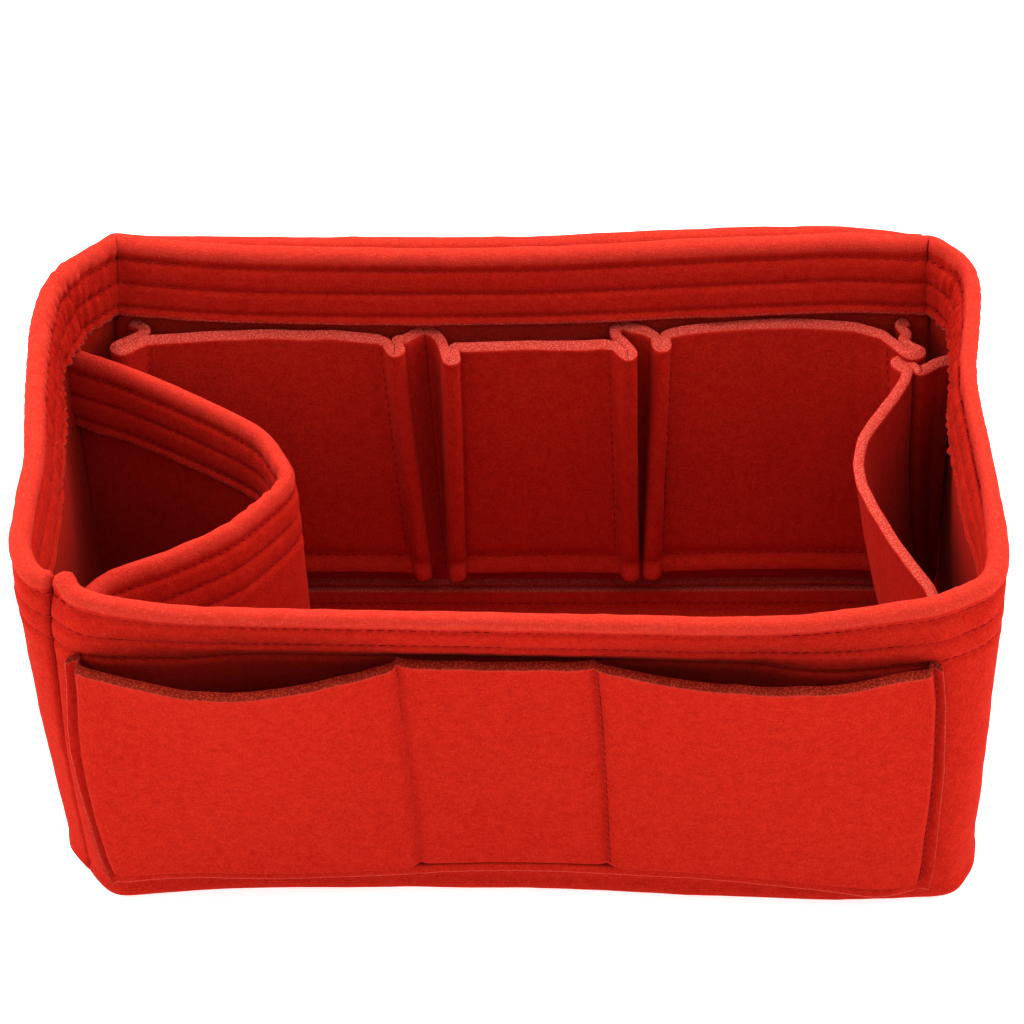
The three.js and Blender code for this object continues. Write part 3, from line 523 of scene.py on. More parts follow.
def hem_section(s, low, top, turned, rows):
    """Closed line round a folded wall: inset, height, sink at the rows, cut edge and roll."""
    t = s["felt"]
    radius = t + s["roll_swell"]
    hem = top - s["hem"]
    edge = HEM["edge"]

    def half(z):
        """How far the felt stands off the middle of its fold."""
        depth = top - z
        swell = s["roll_swell"] * bell(np.maximum(depth - radius, 0.0), 1.2)
        quilt = 0.0
        marks = [top - row for row in rows] + [s["hem"] + HEM["shows_below"]]
        for first, last in zip(marks, marks[1:]):
            share = (depth - first) / (last - first)
            quilt = quilt + np.where((share > 0) & (share < 1), HEM["quilt"] * np.sin(np.pi * share), 0.0)
        return t + swell + quilt

    outer = near_rows(rows, low + 3.8, top - radius - 0.2, 1.7)
    outer_inset = t - np.where(outer > hem - HEM["shows_below"], half(outer), t)
    outer_inset = outer_inset + FOOT_SEAM["deep"] * bell(outer - low - FOOT_SEAM["at"], FOOT_SEAM["wide"])
    outer_inset = outer_inset - FOOT_SEAM["deep"] * bell(
        outer - low - FOOT_SEAM["swell_at"], FOOT_SEAM["swell_wide"]
    )
    turn = np.linspace(0.0, math.pi, ROLL_STEPS)
    inner = outer[outer > hem + 0.8][::-1]
    free = HEM["stands_off"] * ease((rows[-1] - inner) / 4.0)
    plain = np.arange(hem - 0.6, low + max(turned, 1.0) + 0.8, -1.9)
    parts = [
        (outer_inset, outer, 1, 0, 0),
        (t - radius * np.cos(turn), top - radius + radius * np.sin(turn), 0, 0, 1),
        (t + half(inner) + free, inner, -1, 0, 0),
        ([2 * t + HEM["stands_off"], 2 * t + 0.1], [hem + edge, hem], 0, 1, 0),
        ([t + edge], [hem], 0, 1, 0),
        (np.full(len(plain), t), plain, 0, 0, 0),
    ]
    if turned > 0:
        parts += [
            ([t + 0.1], [low + turned + 0.1], 0, 0, 0),
            ([t + edge, 2 * t - edge], [low + turned, low + turned], 0, 1, 0),
            ([2 * t, 2 * t], [low + turned - edge, low + turned / 2], 0, 0, 0),
            ([2 * t, 2 * t - 0.6, 2 * t - 1.8], [low + 1.8, low + 0.6, low], 0, 0, 0),
        ]
    else:
        parts += [([t, t - edge], [low + edge, low], 0, 1, 0)]
    parts += [([2.4, 1.1, 0.35, 0.05], [low, low + 0.35, low + 1.2, low + 2.4], 0, 0, 0)]
    inset = np.concatenate([np.asarray(p[0], float) for p in parts])
    z = np.concatenate([np.asarray(p[1], float) for p in parts])
    tags = [np.concatenate([np.full(len(p[0]), float(p[k])) for p in parts]) for k in (2, 3, 4)]
    sink = sum(bell(z - row, 0.8) for row in rows) * tags[0]
    return {"inset": inset, "z": z, "sink": sink, "cut": tags[1], "roll": tags[2], "side": tags[0]}


def folded_wall(s, name, skin, places, section, shift, seed, replaced, shape):
    """A wall with a folded hem, from its section at each place, which shape() then moves."""
    place = places[:, None]
    inset = np.broadcast_to(section["inset"], (len(places), len(section["inset"]))).copy()
    z = np.broadcast_to(section["z"], inset.shape).copy()
    middle = skin.at(places, z[0].max() - 10.0, s["felt"] + shift)
    run = np.concatenate(([0.0], np.cumsum(np.linalg.norm(np.diff(middle, axis=0), axis=1))))
    pits = (0.5 + 0.5 * np.cos(2 * math.pi * run / s["pitch"]))[:, None]
    inset += section["sink"] * (s["groove"] + s["pit"] * pits)
    where = skin.at(place, z, inset + shift)
    hem_zone = ease((section["z"] - (section["z"].max() - s["hem"] - 12)) / 12.0)
    inset += wander(where, s["uneven"], seed)
    z += section["roll"] * 0.8 * wander(where + 50.0, s["uneven"], seed + 7)
    # Fine crosswise ripple where the fold is tight over the roll
    ripple = value_noise(where * np.array([1.0, 1.0, 0.35]), 3.6, seed + 11)
    inset += 0.16 * ripple * hem_zone
    z += 0.12 * section["roll"] * ripple
    place, inset, z = shape(place, inset, z)
    points = skin.at(place, z, inset + shift)
    outline = np.column_stack([section["inset"], section["z"]])
    faces = ring_faces(len(places), len(section["z"]), outline)
    # The pile mask marks the roll, which the felt material draws lighter: partly fuzzier raised fibres,
    # partly a painted highlight
    masks = {
        "cut": np.broadcast_to(section["cut"], z.shape).ravel(),
        "pile": np.broadcast_to(section["roll"], z.shape).ravel(),
    }
    return mesh_piece(name, points.reshape(-1, 3), faces, felt_material(), replaced, masks)


# Stitching

def stitch_form(s):
    """One stitch along +X, its middle proud and its ends dipping into the felt: points and faces."""
    sides, rings = 6, np.array([-1.0, -0.86, -0.5, 0.0, 0.5, 0.86, 1.0])
    reach = s["pitch"] * 0.47
    swell = np.array([0.45, 0.85, 1.0, 1.0, 1.0, 0.85, 0.45]) * s["thread"]
    proud, dip = 0.28, 0.42
    rise = proud * (1 - rings**2) - dip * rings**4
    turn = 2 * math.pi * np.arange(sides) / sides
    points = [[(u * reach, r * math.cos(a), h + r * math.sin(a)) for a in turn]
              for u, r, h in zip(rings, swell, rise)]
    points = np.array(points).reshape(-1, 3)
    outline = [(math.cos(a), math.sin(a)) for a in turn]
    return points, ring_faces(len(rings), sides, outline)


def stitch_row(s, name, line, outward, node, lift=0.0):
    """A row of stitches along a line, each one proud of the felt on its outward side."""
    steps = np.linalg.norm(np.diff(line, axis=0), axis=1)
    run = np.concatenate(([0.0], np.cumsum(steps)))
    count = max(1, int(run[-1] / s["pitch"]))
    middle = (np.arange(count) + 0.5) * run[-1] / count

    def along(at, values):
        return np.column_stack([np.interp(at, run, values[:, k]) for k in range(3)])

    centre = along(middle, line)
    forward = along(middle + 0.4, line) - along(middle - 0.4, line)
    up = along(middle, outward)
    forward /= np.linalg.norm(forward, axis=1)[:, None] + 1e-9
    up -= forward * np.sum(up * forward, axis=1)[:, None]
    up /= np.linalg.norm(up, axis=1)[:, None] + 1e-9
    across = np.cross(up, forward)
    chance = np.random.default_rng(sum(map(ord, name)))
    uneven_lift, uneven_turn = 0.06, 0.05
    centre = centre + up * (lift + chance.uniform(-uneven_lift, uneven_lift, count))[:, None]
    skew = chance.uniform(-uneven_turn, uneven_turn, count)[:, None]
    forward, across = forward + across * skew, across - forward * skew
    form, faces = stitch_form(s)
    points = (
        centre[:, None] + forward[:, None] * form[None, :, :1]
        + across[:, None] * form[None, :, 1:2] + up[:, None] * form[None, :, 2:]
    )
    size = len(form)
    every = [tuple(k * size + i for i in face) for k in range(count) for face in faces]
    return mesh_piece(name, points.reshape(-1, 3), every, thread_material(), [node])


# Materials

def socket_values(node, **values):
    """Sets a node's inputs by name, with an underscore for each space."""
    for key, value in values.items():
        node.inputs[key.replace("_", " ")].default_value = value


def new_group(name, ins, outs):
    group = bpy.data.node_groups.new(name, "ShaderNodeTree")
    for label, kind, value in ins:
        made = group.interface.new_socket(name=label, in_out="INPUT", socket_type=kind)
        if value is not None:
            made.default_value = value
    for label, kind in outs:
        group.interface.new_socket(name=label, in_out="OUTPUT", socket_type=kind)
    return group, group.nodes.new("NodeGroupInput"), group.nodes.new("NodeGroupOutput")


def link(tree, start, end):
    tree.links.new(start, end)


def noise_node(tree, vector, scale, detail=3.0, rough=0.55):
    node = tree.nodes.new("ShaderNodeTexNoise")
    socket_values(node, Scale=scale, Detail=detail, Roughness=rough)
    if vector is not None:
        link(tree, vector, node.inputs["Vector"])
    return node.outputs["Fac"]


def math_node(tree, operation, first, second=None, third=None, clamp=False):
    node = tree.nodes.new("ShaderNodeMath")
    node.operation, node.use_clamp = operation, clamp
    for socket, value in zip(node.inputs, (first, second, third)):
        if value is None:
            continue
        if isinstance(value, (int, float)):
            socket.default_value = value
        else:
            link(tree, value, socket)
    return node.outputs[0]


def range_node(tree, value, low, high, out_low=0.0, out_high=1.0):
    node = tree.nodes.new("ShaderNodeMapRange")
    node.inputs["From Min"].default_value, node.inputs["From Max"].default_value = low, high
    node.inputs["To Min"].default_value, node.inputs["To Max"].default_value = out_low, out_high
    link(tree, value, node.inputs["Value"])
    return node.outputs["Result"]


def mix_colour(tree, share, first, second):
    node = tree.nodes.new("ShaderNodeMix")
    node.data_type = "RGBA"
    for socket, value in ((node.inputs[0], share), (node.inputs[6], first), (node.inputs[7], second)):
        if isinstance(value, (int, float)):
            socket.default_value = value
        elif isinstance(value, tuple):
            socket.default_value = value
        else:
            link(tree, value, socket)
    return node.outputs[2]


# Colours of felt that lies in a pocket's shade: its face, and its cut edge between and in the pores
SHADED_FACE = (0.07, 0.003, 0.001, 1.0)
SHADED_EDGE = (0.42, 0.05, 0.016, 1.0)
SHADED_PORES = (0.14, 0.006, 0.002, 1.0)


def fibre_group():
    """Matted fibres: short streaks in three directions over a fine grain, and pores at a cut edge."""
    group, inlet, outlet = new_group(
        "matted_fibres",
        [
            ("Felt", "NodeSocketColor", (0.6, 0.02, 0.01, 1.0)),
            ("Shade", "NodeSocketColor", (0.4, 0.01, 0.01, 1.0)),
            ("Light", "NodeSocketColor", (0.8, 0.06, 0.05, 1.0)),
            ("Cut Colour", "NodeSocketColor", (0.7, 0.07, 0.05, 1.0)),
            ("Cut", "NodeSocketFloat", 0.0),
            ("Pile", "NodeSocketFloat", 0.0),
            ("Shaded", "NodeSocketFloat", 0.0),
        ],
        [("Colour", "NodeSocketColor"), ("Roughness", "NodeSocketFloat"), ("Height", "NodeSocketFloat")],
    )
    felt, shade, light, cut_colour, cut, pile, shaded = (
        inlet.outputs[label] for label in ("Felt", "Shade", "Light", "Cut Colour", "Cut", "Pile", "Shaded")
    )
    place = group.nodes.new("ShaderNodeTexCoord").outputs["Object"]
    streaks = None
    for turn, stretch in (
        ((0.3, 0.5, 0.2), (2100.0, 420.0, 2100.0)),
        ((1.2, 0.1, 0.9), (420.0, 2100.0, 2100.0)),
        ((0.7, 1.1, 2.0), (2000.0, 2000.0, 400.0)),
    ):
        mapping = group.nodes.new("ShaderNodeMapping")
        mapping.inputs["Rotation"].default_value = turn
        mapping.inputs["Scale"].default_value = stretch
        link(group, place, mapping.inputs["Vector"])
        streak = noise_node(group, mapping.outputs["Vector"], 1.0, 1.0)
        streaks = streak if streaks is None else math_node(group, "MAXIMUM", streaks, streak)
    raised = range_node(group, streaks, 0.55, 0.8)
    grain = noise_node(group, place, 1500.0, 3.0, 0.7)
    mottle = noise_node(group, place, 330.0, 4.0, 0.65)
    both = math_node(group, "MULTIPLY_ADD", mottle, 0.4, math_node(group, "MULTIPLY", grain, 0.6))
    ground = mix_colour(group, range_node(group, both, 0.33, 0.62), shade, felt)
    # Over the pile mask the raised fibres grow stronger and the face is lightened towards their colour: fuzz
    # on the rolls, and a painted highlight on the rolls and on the front pocket's lip
    tufts = math_node(group, "MULTIPLY", raised, range_node(group, pile, 0.0, 1.0, 0.16, 0.4))
    face = mix_colour(group, tufts, ground, light)
    face = mix_colour(group, math_node(group, "MULTIPLY", pile, 0.24), face, light)
    face = mix_colour(group, math_node(group, "MULTIPLY", shaded, 0.95), face, SHADED_FACE)
    cells = group.nodes.new("ShaderNodeTexVoronoi")
    cells.inputs["Scale"].default_value = 1500.0
    link(group, place, cells.inputs["Vector"])
    pores = range_node(group, cells.outputs["Distance"], 0.2, 0.62)
    porous = mix_colour(group, math_node(group, "MULTIPLY", pores, 0.6), cut_colour, shade)
    specks = math_node(group, "MULTIPLY", range_node(group, grain, 0.5, 0.7), 0.2)
    porous = mix_colour(group, specks, porous, light)
    deep_shade = mix_colour(group, math_node(group, "MULTIPLY", pores, 0.8), SHADED_EDGE, SHADED_PORES)
    porous = mix_colour(group, math_node(group, "MULTIPLY", shaded, 0.92), porous, deep_shade)
    link(group, mix_colour(group, cut, face, porous), outlet.inputs["Colour"])
    link(group, range_node(group, mottle, 0.3, 0.7, 0.88, 1.0), outlet.inputs["Roughness"])
    soft = math_node(group, "MULTIPLY_ADD", both, 0.9, math_node(group, "MULTIPLY", raised, 0.3))
    deep = math_node(group, "MULTIPLY", math_node(group, "MULTIPLY", pores, cut), 0.9)
    link(group, math_node(group, "SUBTRACT", soft, deep), outlet.inputs["Height"])
    return group


def rgba(three):
    return (*three, 1.0)


def felt_material():
    known = bpy.data.materials.get("red_felt_face")
    if known:
        return known
    held = bpy.context.scene.felt_colours
    material = bpy.data.materials.new("red_felt_face")
    material.use_nodes = True
    tree = material.node_tree
    shader = tree.nodes["Principled BSDF"]
    fibres = tree.nodes.new("ShaderNodeGroup")
    fibres.node_tree = bpy.data.node_groups.get("matted_fibres") or fibre_group()
    for label, key in (("Felt", "felt"), ("Shade", "shade"), ("Light", "light"), ("Cut Colour", "cut")):
        fibres.inputs[label].default_value = rgba(getattr(held, key))
    for label, key in (("Cut", "cut"), ("Pile", "pile"), ("Shaded", "shaded")):
        mask = tree.nodes.new("ShaderNodeAttribute")
        mask.attribute_name = key
        link(tree, mask.outputs["Fac"], fibres.inputs[label])
    link(tree, fibres.outputs["Colour"], shader.inputs["Base Color"])
    link(tree, fibres.outputs["Roughness"], shader.inputs["Roughness"])
    bump = tree.nodes.new("ShaderNodeBump")
    socket_values(bump, Strength=0.55, Distance=0.0005)
    link(tree, fibres.outputs["Height"], bump.inputs["Height"])
    link(tree, bump.outputs["Normal"], shader.inputs["Normal"])
    socket_values(shader, Specular_IOR_Level=0.07, Sheen_Weight=0.18, Sheen_Roughness=0.35)
    socket_values(shader, Sheen_Tint=(1.0, 0.26, 0.2, 1.0))
    return material


def thread_material():
    known = bpy.data.materials.get("red_sewing_thread")
    if known:
        return known
    material = bpy.data.materials.new("red_sewing_thread")
    material.use_nodes = True
    tree = material.node_tree
    shader = tree.nodes["Principled BSDF"]
    held = bpy.context.scene.felt_colours
    place = tree.nodes.new("ShaderNodeTexCoord").outputs["Object"]
    strands = noise_node(tree, place, 2600.0, 2.0)
    dark = rgba([0.55 * c for c in held.thread])
    light = rgba([min(1.0, 1.5 * c) for c in held.thread])
    link(tree, mix_colour(tree, strands, dark, light), shader.inputs["Base Color"])
    bump = tree.nodes.new("ShaderNodeBump")
    socket_values(bump, Strength=0.5, Distance=0.0002)
    link(tree, strands, bump.inputs["Height"])
    link(tree, bump.outputs["Normal"], shader.inputs["Normal"])
    socket_values(shader, Roughness=0.62, Specular_IOR_Level=0.25)
    return material


# Pieces

def rows_below(top):
    return [top - depth for depth in ROW_DEPTHS]


# The wall strip's first and last place, short of a whole round so that its two ends meet at the seam
STRIP_ENDS = (0.012, STATIONS - 0.03)
# Where its columns lie twice as close, in stations past the back corners, and where they lie at a tuck
CLOSE_COLUMNS = {"off": 3.5, "reach": 3.2}
TUCK_COLUMNS = (-0.1, -0.05, 0.0, 0.05, 0.1)
# Where the hem puckers: how much, near which back corner, how many stations off it and how wide
PUCKERS = (
    (1.0, "back", -1.8, 2.3), (1.0, "left", 1.8, 2.3), (0.8, "back", -7.0, 4.0), (0.9, "left", 6.5, 4.5),
)
# How much a pucker moves the felt in millimetres: fine, broad, in bunches so far apart, and upwards. Here and
# below, a depth is a pair: how far below the rim something starts, and over how far it eases in
PUCKER = {
    "fine": 0.85, "broad": 0.5, "bunch": 0.5, "apart": 4.2, "up": 0.5, "outside": 0.35,
    "hem_depth": (27.0, 3.0), "roll_depth": (5.0, 4.0), "lift_depth": (5.0, 5.0),
}
# The strip's two ends turn in: over how many millimetres, how much slimmer and how much lower
END_TURN = {"reach": 2.6, "slimmer": 0.62, "lower": 1.6, "depth": (8.0, 8.0)}
# The roll is slimmer inside along the right wall
SLIM_ROLL = {"slimmer": 0.4, "stations": (24.0, 3.0, 36.0, 3.0), "depth": (9.0, 5.0)}
# A tuck pinches the felt outwards: how deep, how wide in stations, how much less at the rim, and from where
# inside the felt and above the foot
TUCK = {
    "deep": 2.3, "wide": 0.055, "less": 0.7, "depth": (4.0, 4.0), "inside": (2.6, 0.6), "foot": (12.0, 10.0),
}
# The front of the roll lies a little lower
LOW_FRONT = {"lower": 0.7, "stations": (1.5, 1.5, 17.5, 2.0), "depth": (12.0, 12.0)}
# The strip's first end stands up like an ear: where, how wide, how high and how far in
EAR = {"at": 3.0, "wide": 2.6, "high": 2.2, "uneven": 0.9, "inwards": 0.9, "depth": (8.0, 5.0)}
# Near the seam the hem's edge on the left wall hangs lower, as a tab: its length, how far below the rim it is
# and over how much, how much lower and how far in
TAB = {"long": 27.0, "below": 25.5, "wide": 2.2, "lower": 1.6, "inwards": 1.5}


def wall_places(s, skin):
    """Columns round the walls, closer together at the two tucked corners."""
    even = places_by_length(skin, *STRIP_ENDS, s["height"] - 12.0, 3.0, s["pitch"] / 2)
    middles = (even[1:] + even[:-1]) / 2
    before = np.abs(middles - STARTS["back"] + CLOSE_COLUMNS["off"]) < CLOSE_COLUMNS["reach"]
    after = np.abs(middles - STARTS["left"] - CLOSE_COLUMNS["off"]) < CLOSE_COLUMNS["reach"]
    even = np.sort(np.concatenate([even, middles[before | after]]))
    tucks = np.array([STARTS["back"], STARTS["left"]])[:, None] + np.array(TUCK_COLUMNS)
    clear = np.abs(even[:, None] - tucks.ravel()).min(axis=1) > 0.08
    return np.sort(np.concatenate([even[clear], tucks.ravel()]))


def low_front(place, z, top):
    """How far the front of the roll lies lower."""
    return LOW_FRONT["lower"] * zone(place, *LOW_FRONT["stations"]) * near_top(z, top, *LOW_FRONT["depth"])


def pucker_hem(s, skin, place, inset, z, run):
    """The hem puckers between its rows near the back corners: inset, lift and the fine pucker itself."""
    t, top = s["felt"], s["height"]
    hem = near_top(z, top, *PUCKER["hem_depth"]) * (1 - 0.75 * near_top(z, top, *PUCKER["roll_depth"]))
    ends = sum(much * bell(place - STARTS[side] - off, wide) for much, side, off, wide in PUCKERS)
    where = skin.at(place, z, inset)
    fine = value_noise(where * np.array([1.0, 1.0, 0.22]), 2.7, 151)
    broad = value_noise(where * np.array([1.0, 1.0, 0.3]), 8.0, 153)
    side = np.where(inset > t, 1.0, PUCKER["outside"])
    bunch = np.sin(2 * math.pi * run / PUCKER["apart"] + 2.5 * broad) * ease((ends - 0.35) / 0.6)
    moved = PUCKER["fine"] * fine + PUCKER["broad"] * broad + PUCKER["bunch"] * bunch
    lift = PUCKER["up"] * ends * fine * near_top(z, top, *PUCKER["lift_depth"])
    return inset + ends * hem * side * moved, lift, fine


def build_walls(s):
    skin = box_skin(s)
    places = wall_places(s, skin)
    section = hem_section(s, 0.0, s["height"], s["turned"], rows_below(s["height"]))
    first = skin.at(places, s["height"] - 12.0, 3.0)
    run = np.concatenate(([0.0], np.cumsum(np.linalg.norm(np.diff(first, axis=0), axis=1))))
    from_end = np.minimum(run, run[-1] - run)[:, None]
    from_last, run = (run[-1] - run)[:, None], run[:, None]
    t, top = s["felt"], s["height"]

    def shape(place, inset, z):
        near = np.clip(1 - from_end / END_TURN["reach"], 0.0, 1.0)
        squeeze = END_TURN["slimmer"] * (1 - np.sqrt(1 - near**2))
        inset = t + (inset - t) * (1 - squeeze)
        z = z - squeeze * END_TURN["lower"] * near_top(z, top, *END_TURN["depth"])
        inset, lift, fine = pucker_hem(s, skin, place, inset, z, run)
        slim = zone(place, *SLIM_ROLL["stations"]) * near_top(z, top, *SLIM_ROLL["depth"])
        inset = np.where(inset > t, t + (inset - t) * (1 - SLIM_ROLL["slimmer"] * slim), inset)
        z = z + lift
        for corner in (STARTS["back"], STARTS["left"]):
            slit = bell(place - corner, TUCK["wide"]) * from_to(inset, TUCK["inside"])
            slit = slit * (1 - TUCK["less"] * near_top(z, top, *TUCK["depth"]))
            inset = inset - TUCK["deep"] * slit * from_to(z, TUCK["foot"])
        z = z - low_front(place, z, top)
        ear = bell(run - EAR["at"], EAR["wide"]) * near_top(z, top, *EAR["depth"])
        z = z + (EAR["high"] + EAR["uneven"] * fine) * ear
        inset = inset + EAR["inwards"] * ear
        hangs = ease((TAB["long"] - from_last) / 1.5) * ease((inset - t - 0.3) / 0.4)
        tab = hangs * bell(z - top + TAB["below"], TAB["wide"])
        z = z - TAB["lower"] * tab
        inset = inset + TAB["inwards"] * tab
        inset = inset + band_dent(s, place, z) - corner_bulge(s, place, z)
        place = place + seam_shift(place, z / top)
        return place, inset, z

    return folded_wall(
        s, "wall_strip", skin, places, section, 0.0, 3,
        ["front_wall", "right_wall", "back_wall", "left_wall"], shape,
    )


# The base: its columns, its rings towards the middle line, how near the last comes to it, how far that line
# ends short of the base, and how uneven its floor is over how many millimetres
BASE = {"columns": 420, "rings": 14, "share": 0.96, "short": 58.0, "uneven": 0.245, "over": 22.0}


def build_base(s):
    skin = box_skin(s)
    places = np.linspace(0.0, STATIONS, BASE["columns"], endpoint=False)
    t, lip, outside = s["felt"], s["lip"], 2 * s["felt"] + GAP
    inside = outside + t
    # Each ring of the edge: inset, height and whether it lies on the cut
    rings = [
        (outside + 1.4, 0.0, 0), (outside + 0.3, 0.5, 0), (outside, 1.6, 0), (outside, lip - 0.4, 0),
        (outside + 0.3, lip, 1), (inside - 0.3, lip, 1), (inside, lip - 0.4, 0), (inside, 6.5, 0),
        (inside + 0.3, 4.6, 0), (inside + 1.2, 3.4, 0), (inside + 2.6, 3.0, 0),
    ]
    points = [skin.at(places, z, inset) for inset, z, _ in rings]
    half = s["base_length"] / 2 - BASE["short"]

    def towards_middle(ring, z):
        line = [np.clip(ring[:, 0], -half, half), np.zeros(len(ring)), np.full(len(ring), z)]
        shares = np.linspace(0.0, BASE["share"], BASE["rings"] + 1)[1:]
        return [ring + (np.column_stack(line) - ring) * share for share in shares]

    top_rings = towards_middle(points[-1], 3.0)
    foot_rings = towards_middle(points[0], 0.0)
    for ring in top_rings:
        ring[:, 2] = 3.0 + BASE["uneven"] * value_noise(ring, BASE["over"], 5)
    grid = np.stack([*reversed(foot_rings), *points, *top_rings])
    cuts = [0] * len(foot_rings) + [cut for _, _, cut in rings] + [0] * len(top_rings)
    count, size = grid.shape[0], grid.shape[1]
    faces = [
        (a * size + k, a * size + (k + 1) % size, (a + 1) * size + (k + 1) % size, (a + 1) * size + k)
        for a in range(count - 1) for k in range(size)
    ]
    # One face closes the middle underneath and one on the floor
    faces.append(tuple(reversed(range(size))))
    faces.append(tuple((count - 1) * size + k for k in range(size)))
    return mesh_piece(
        "base_panel_felt", grid.reshape(-1, 3), faces, felt_material(), ["base_panel"],
        {"cut": np.repeat(cuts, size)},
    )


# Front pocket panel in millimetres along the front: its edges and the rows that divide it, and how high the
# row along its foot runs
PANEL = {"left": -126.1, "right": 126.5, "split_left": -31.0, "split_right": 27.2, "foot_row": 4.4}
# From foot to mouth, by share of the height: each side's lean to the right in stations, and how far in its
# row runs in millimetres
PANEL_SIDES = {
    "left": [
        (0.0, 0.19, 1.1), (0.06, 0.1, 1.0), (0.12, 0.05, 1.0), (0.3, 0.01, 1.1), (0.45, 0.0, 1.6),
        (0.6, 0.0, 2.3), (0.7, 0.08, 2.3), (0.8, 0.2, 2.1), (0.9, 0.32, 1.9), (1.0, 0.41, 1.8),
    ],
    "right": [
        (0.0, -0.22, 3.2), (0.05, -0.14, 3.5), (0.12, -0.08, 3.5), (0.25, -0.05, 3.4), (0.35, -0.03, 2.9),
        (0.55, 0.005, 2.4), (0.85, -0.035, 1.9), (1.0, -0.13, 2.2),
    ],
}
# Its mouth and its foot, as heights along the front, in millimetres
PANEL_MOUTH = [
    (-127, 108.9), (-105, 110.5), (-79, 110.7), (-50, 111.5), (-31, 112.4), (0, 112.8), (27, 113.1),
    (50, 112.2), (77, 111.8), (105, 112.0), (118, 111.3), (127, 110.5),
]
PANEL_FOOT = [
    (-127, 11.0), (-116, 12.0), (-99, 11.3), (-77, 9.8), (-60, 10.2), (-45, 11.1), (-33, 11.9),
    (-22, 13.1), (-5, 14.0), (12, 14.1), (27, 13.8), (44, 13.5), (66, 12.6), (89, 10.0), (109, 7.6),
    (119, 8.6), (127, 10.6),
]
# Each of its pockets in millimetres: how far its mouth bellies out, and how far its felt stands over the rows
PANEL_BELLY = {"left": (11.6, 2.7), "middle": (0.5, 1.2), "right": (6.2, 2.5)}
# How a pocket swells upwards and across, and each dip of its felt at a dividing row: how deep and how wide
PANEL_SWELL = {"upwards": 1.7, "across": 1.15}
PANEL_DIPS = ((1.3, 1.4), (0.5, 5.0))
# Its edge in millimetres: over how much it steps down to a row, the groove at a row, how far the free edge
# curls off the wall, and how far it hangs near one corner of the foot
PANEL_EDGE = {
    "side_step": 2.3, "foot_step": 1.5, "groove": 0.9, "foot_groove": 0.6, "foot_wide": 0.7,
    "curl": 1.3, "foot_curl": 0.5, "foot_reach": 2.6, "hang": 1.2, "hang_at": 109.0, "hang_wide": 10.0,
    "hang_reach": 9.0,
}
# Over how many millimetres a side leans, how far the left dividing row leans, and the panel's usual height
PANEL_LEAN, SPLIT_LEAN, PANEL_TALL = 40.0, 1.3, 100.0


def panel_side(side, share, column):
    """A side's lean, column 1, or how far in its row runs, column 2, at a share of the height."""
    table = np.array(PANEL_SIDES[side])
    return np.interp(share, table[:, 0], table[:, column])


def panel_place(s, x, share):
    """Place of a point of the panel: its two sides lean a little."""
    left = ease(1 - (x - PANEL["left"]) / PANEL_LEAN) * panel_side("left", share, 1)
    right = ease(1 - (PANEL["right"] - x) / PANEL_LEAN) * panel_side("right", share, 1)
    return front_place(s, x) + left + right


def panel_edges(x):
    """Heights of the panel's foot and of its mouth."""
    foot, mouth = (spline(np.array(points), 12) for points in (PANEL_FOOT, PANEL_MOUTH))
    return np.interp(x, foot[:, 0], foot[:, 1]), np.interp(x, mouth[:, 0], mouth[:, 1])


def panel_height(x, share):
    foot, mouth = panel_edges(x)
    return foot + (mouth - foot) * share


def panel_split(side, share):
    """Where a dividing row runs: the left one leans a little at the mouth."""
    lean = SPLIT_LEAN if side == "left" else 0.0
    return PANEL["split_" + side] + lean * ease((share - 0.7) / 0.3)


def panel_stand(x, share):
    """How far the panel stands off the wall: pockets belly out between the rows that hold them."""
    foot, mouth = panel_edges(x)
    splits = [panel_split(side, share) for side in ("left", "right")]
    borders = [PANEL["left"] + 0 * share, *splits, PANEL["right"] + 0 * share]
    swell = np.clip(share, 0, 1) ** PANEL_SWELL["upwards"]
    bulge, pillow = 0 * (x + share), 0 * (x + share)
    for (most, thick), first, last in zip(PANEL_BELLY.values(), borders, borders[1:]):
        part = (x - first) / (last - first)
        inside = (part >= 0) & (part <= 1)
        arch = np.sin(np.pi * np.clip(part, 0, 1)) ** PANEL_SWELL["across"]
        bulge = np.where(inside, most * arch * swell, bulge)
        pillow = np.where(inside, thick, pillow)
    free = np.minimum(x - PANEL["left"], PANEL["right"] - x)
    row = np.where(x < 0, panel_side("left", share, 2), panel_side("right", share, 2))
    up = share * (mouth - foot)
    side, low = free - row, up - PANEL["foot_row"]
    sewn = PANEL_EDGE
    edge = np.minimum(side, low)
    step = np.minimum(ease((side + 0.1) / sewn["side_step"]), ease((low - 0.1) / sewn["foot_step"]))
    pillow = pillow * step
    held = step * (1 - 0.25 * ease((share - 0.8) / 0.2))
    for split in splits:
        pillow = pillow - held * sum(deep * bell(x - split, wide) for deep, wide in PANEL_DIPS)
    groove = sewn["groove"] * bell(edge, sewn["groove"])
    groove = groove + sewn["foot_groove"] * bell(low, sewn["foot_wide"]) * (side > 0)
    curl = sewn["curl"] * ease(1 - free / (0.75 * row))
    curl = curl + sewn["foot_curl"] * ease(1 - up / sewn["foot_reach"])
    hang = sewn["hang"] * bell(x - sewn["hang_at"], sewn["hang_wide"]) * ease(1 - up / sewn["hang_reach"])
    return np.maximum(pillow, 0.0) + bulge * np.maximum(step, 0.05) - groove + curl + hang


def closer_rows(low, high, step, marks, fine=0.7):
    """Even values from low to high, closer together at each mark."""
    even = [v for v in np.arange(low, high, step) if all(abs(v - m) > 2.2 for m in marks)]
    near = [m + d for m in marks for d in np.arange(-2.1, 2.2, fine) if low < m + d < high]
    return np.array(sorted([*even, *near]))


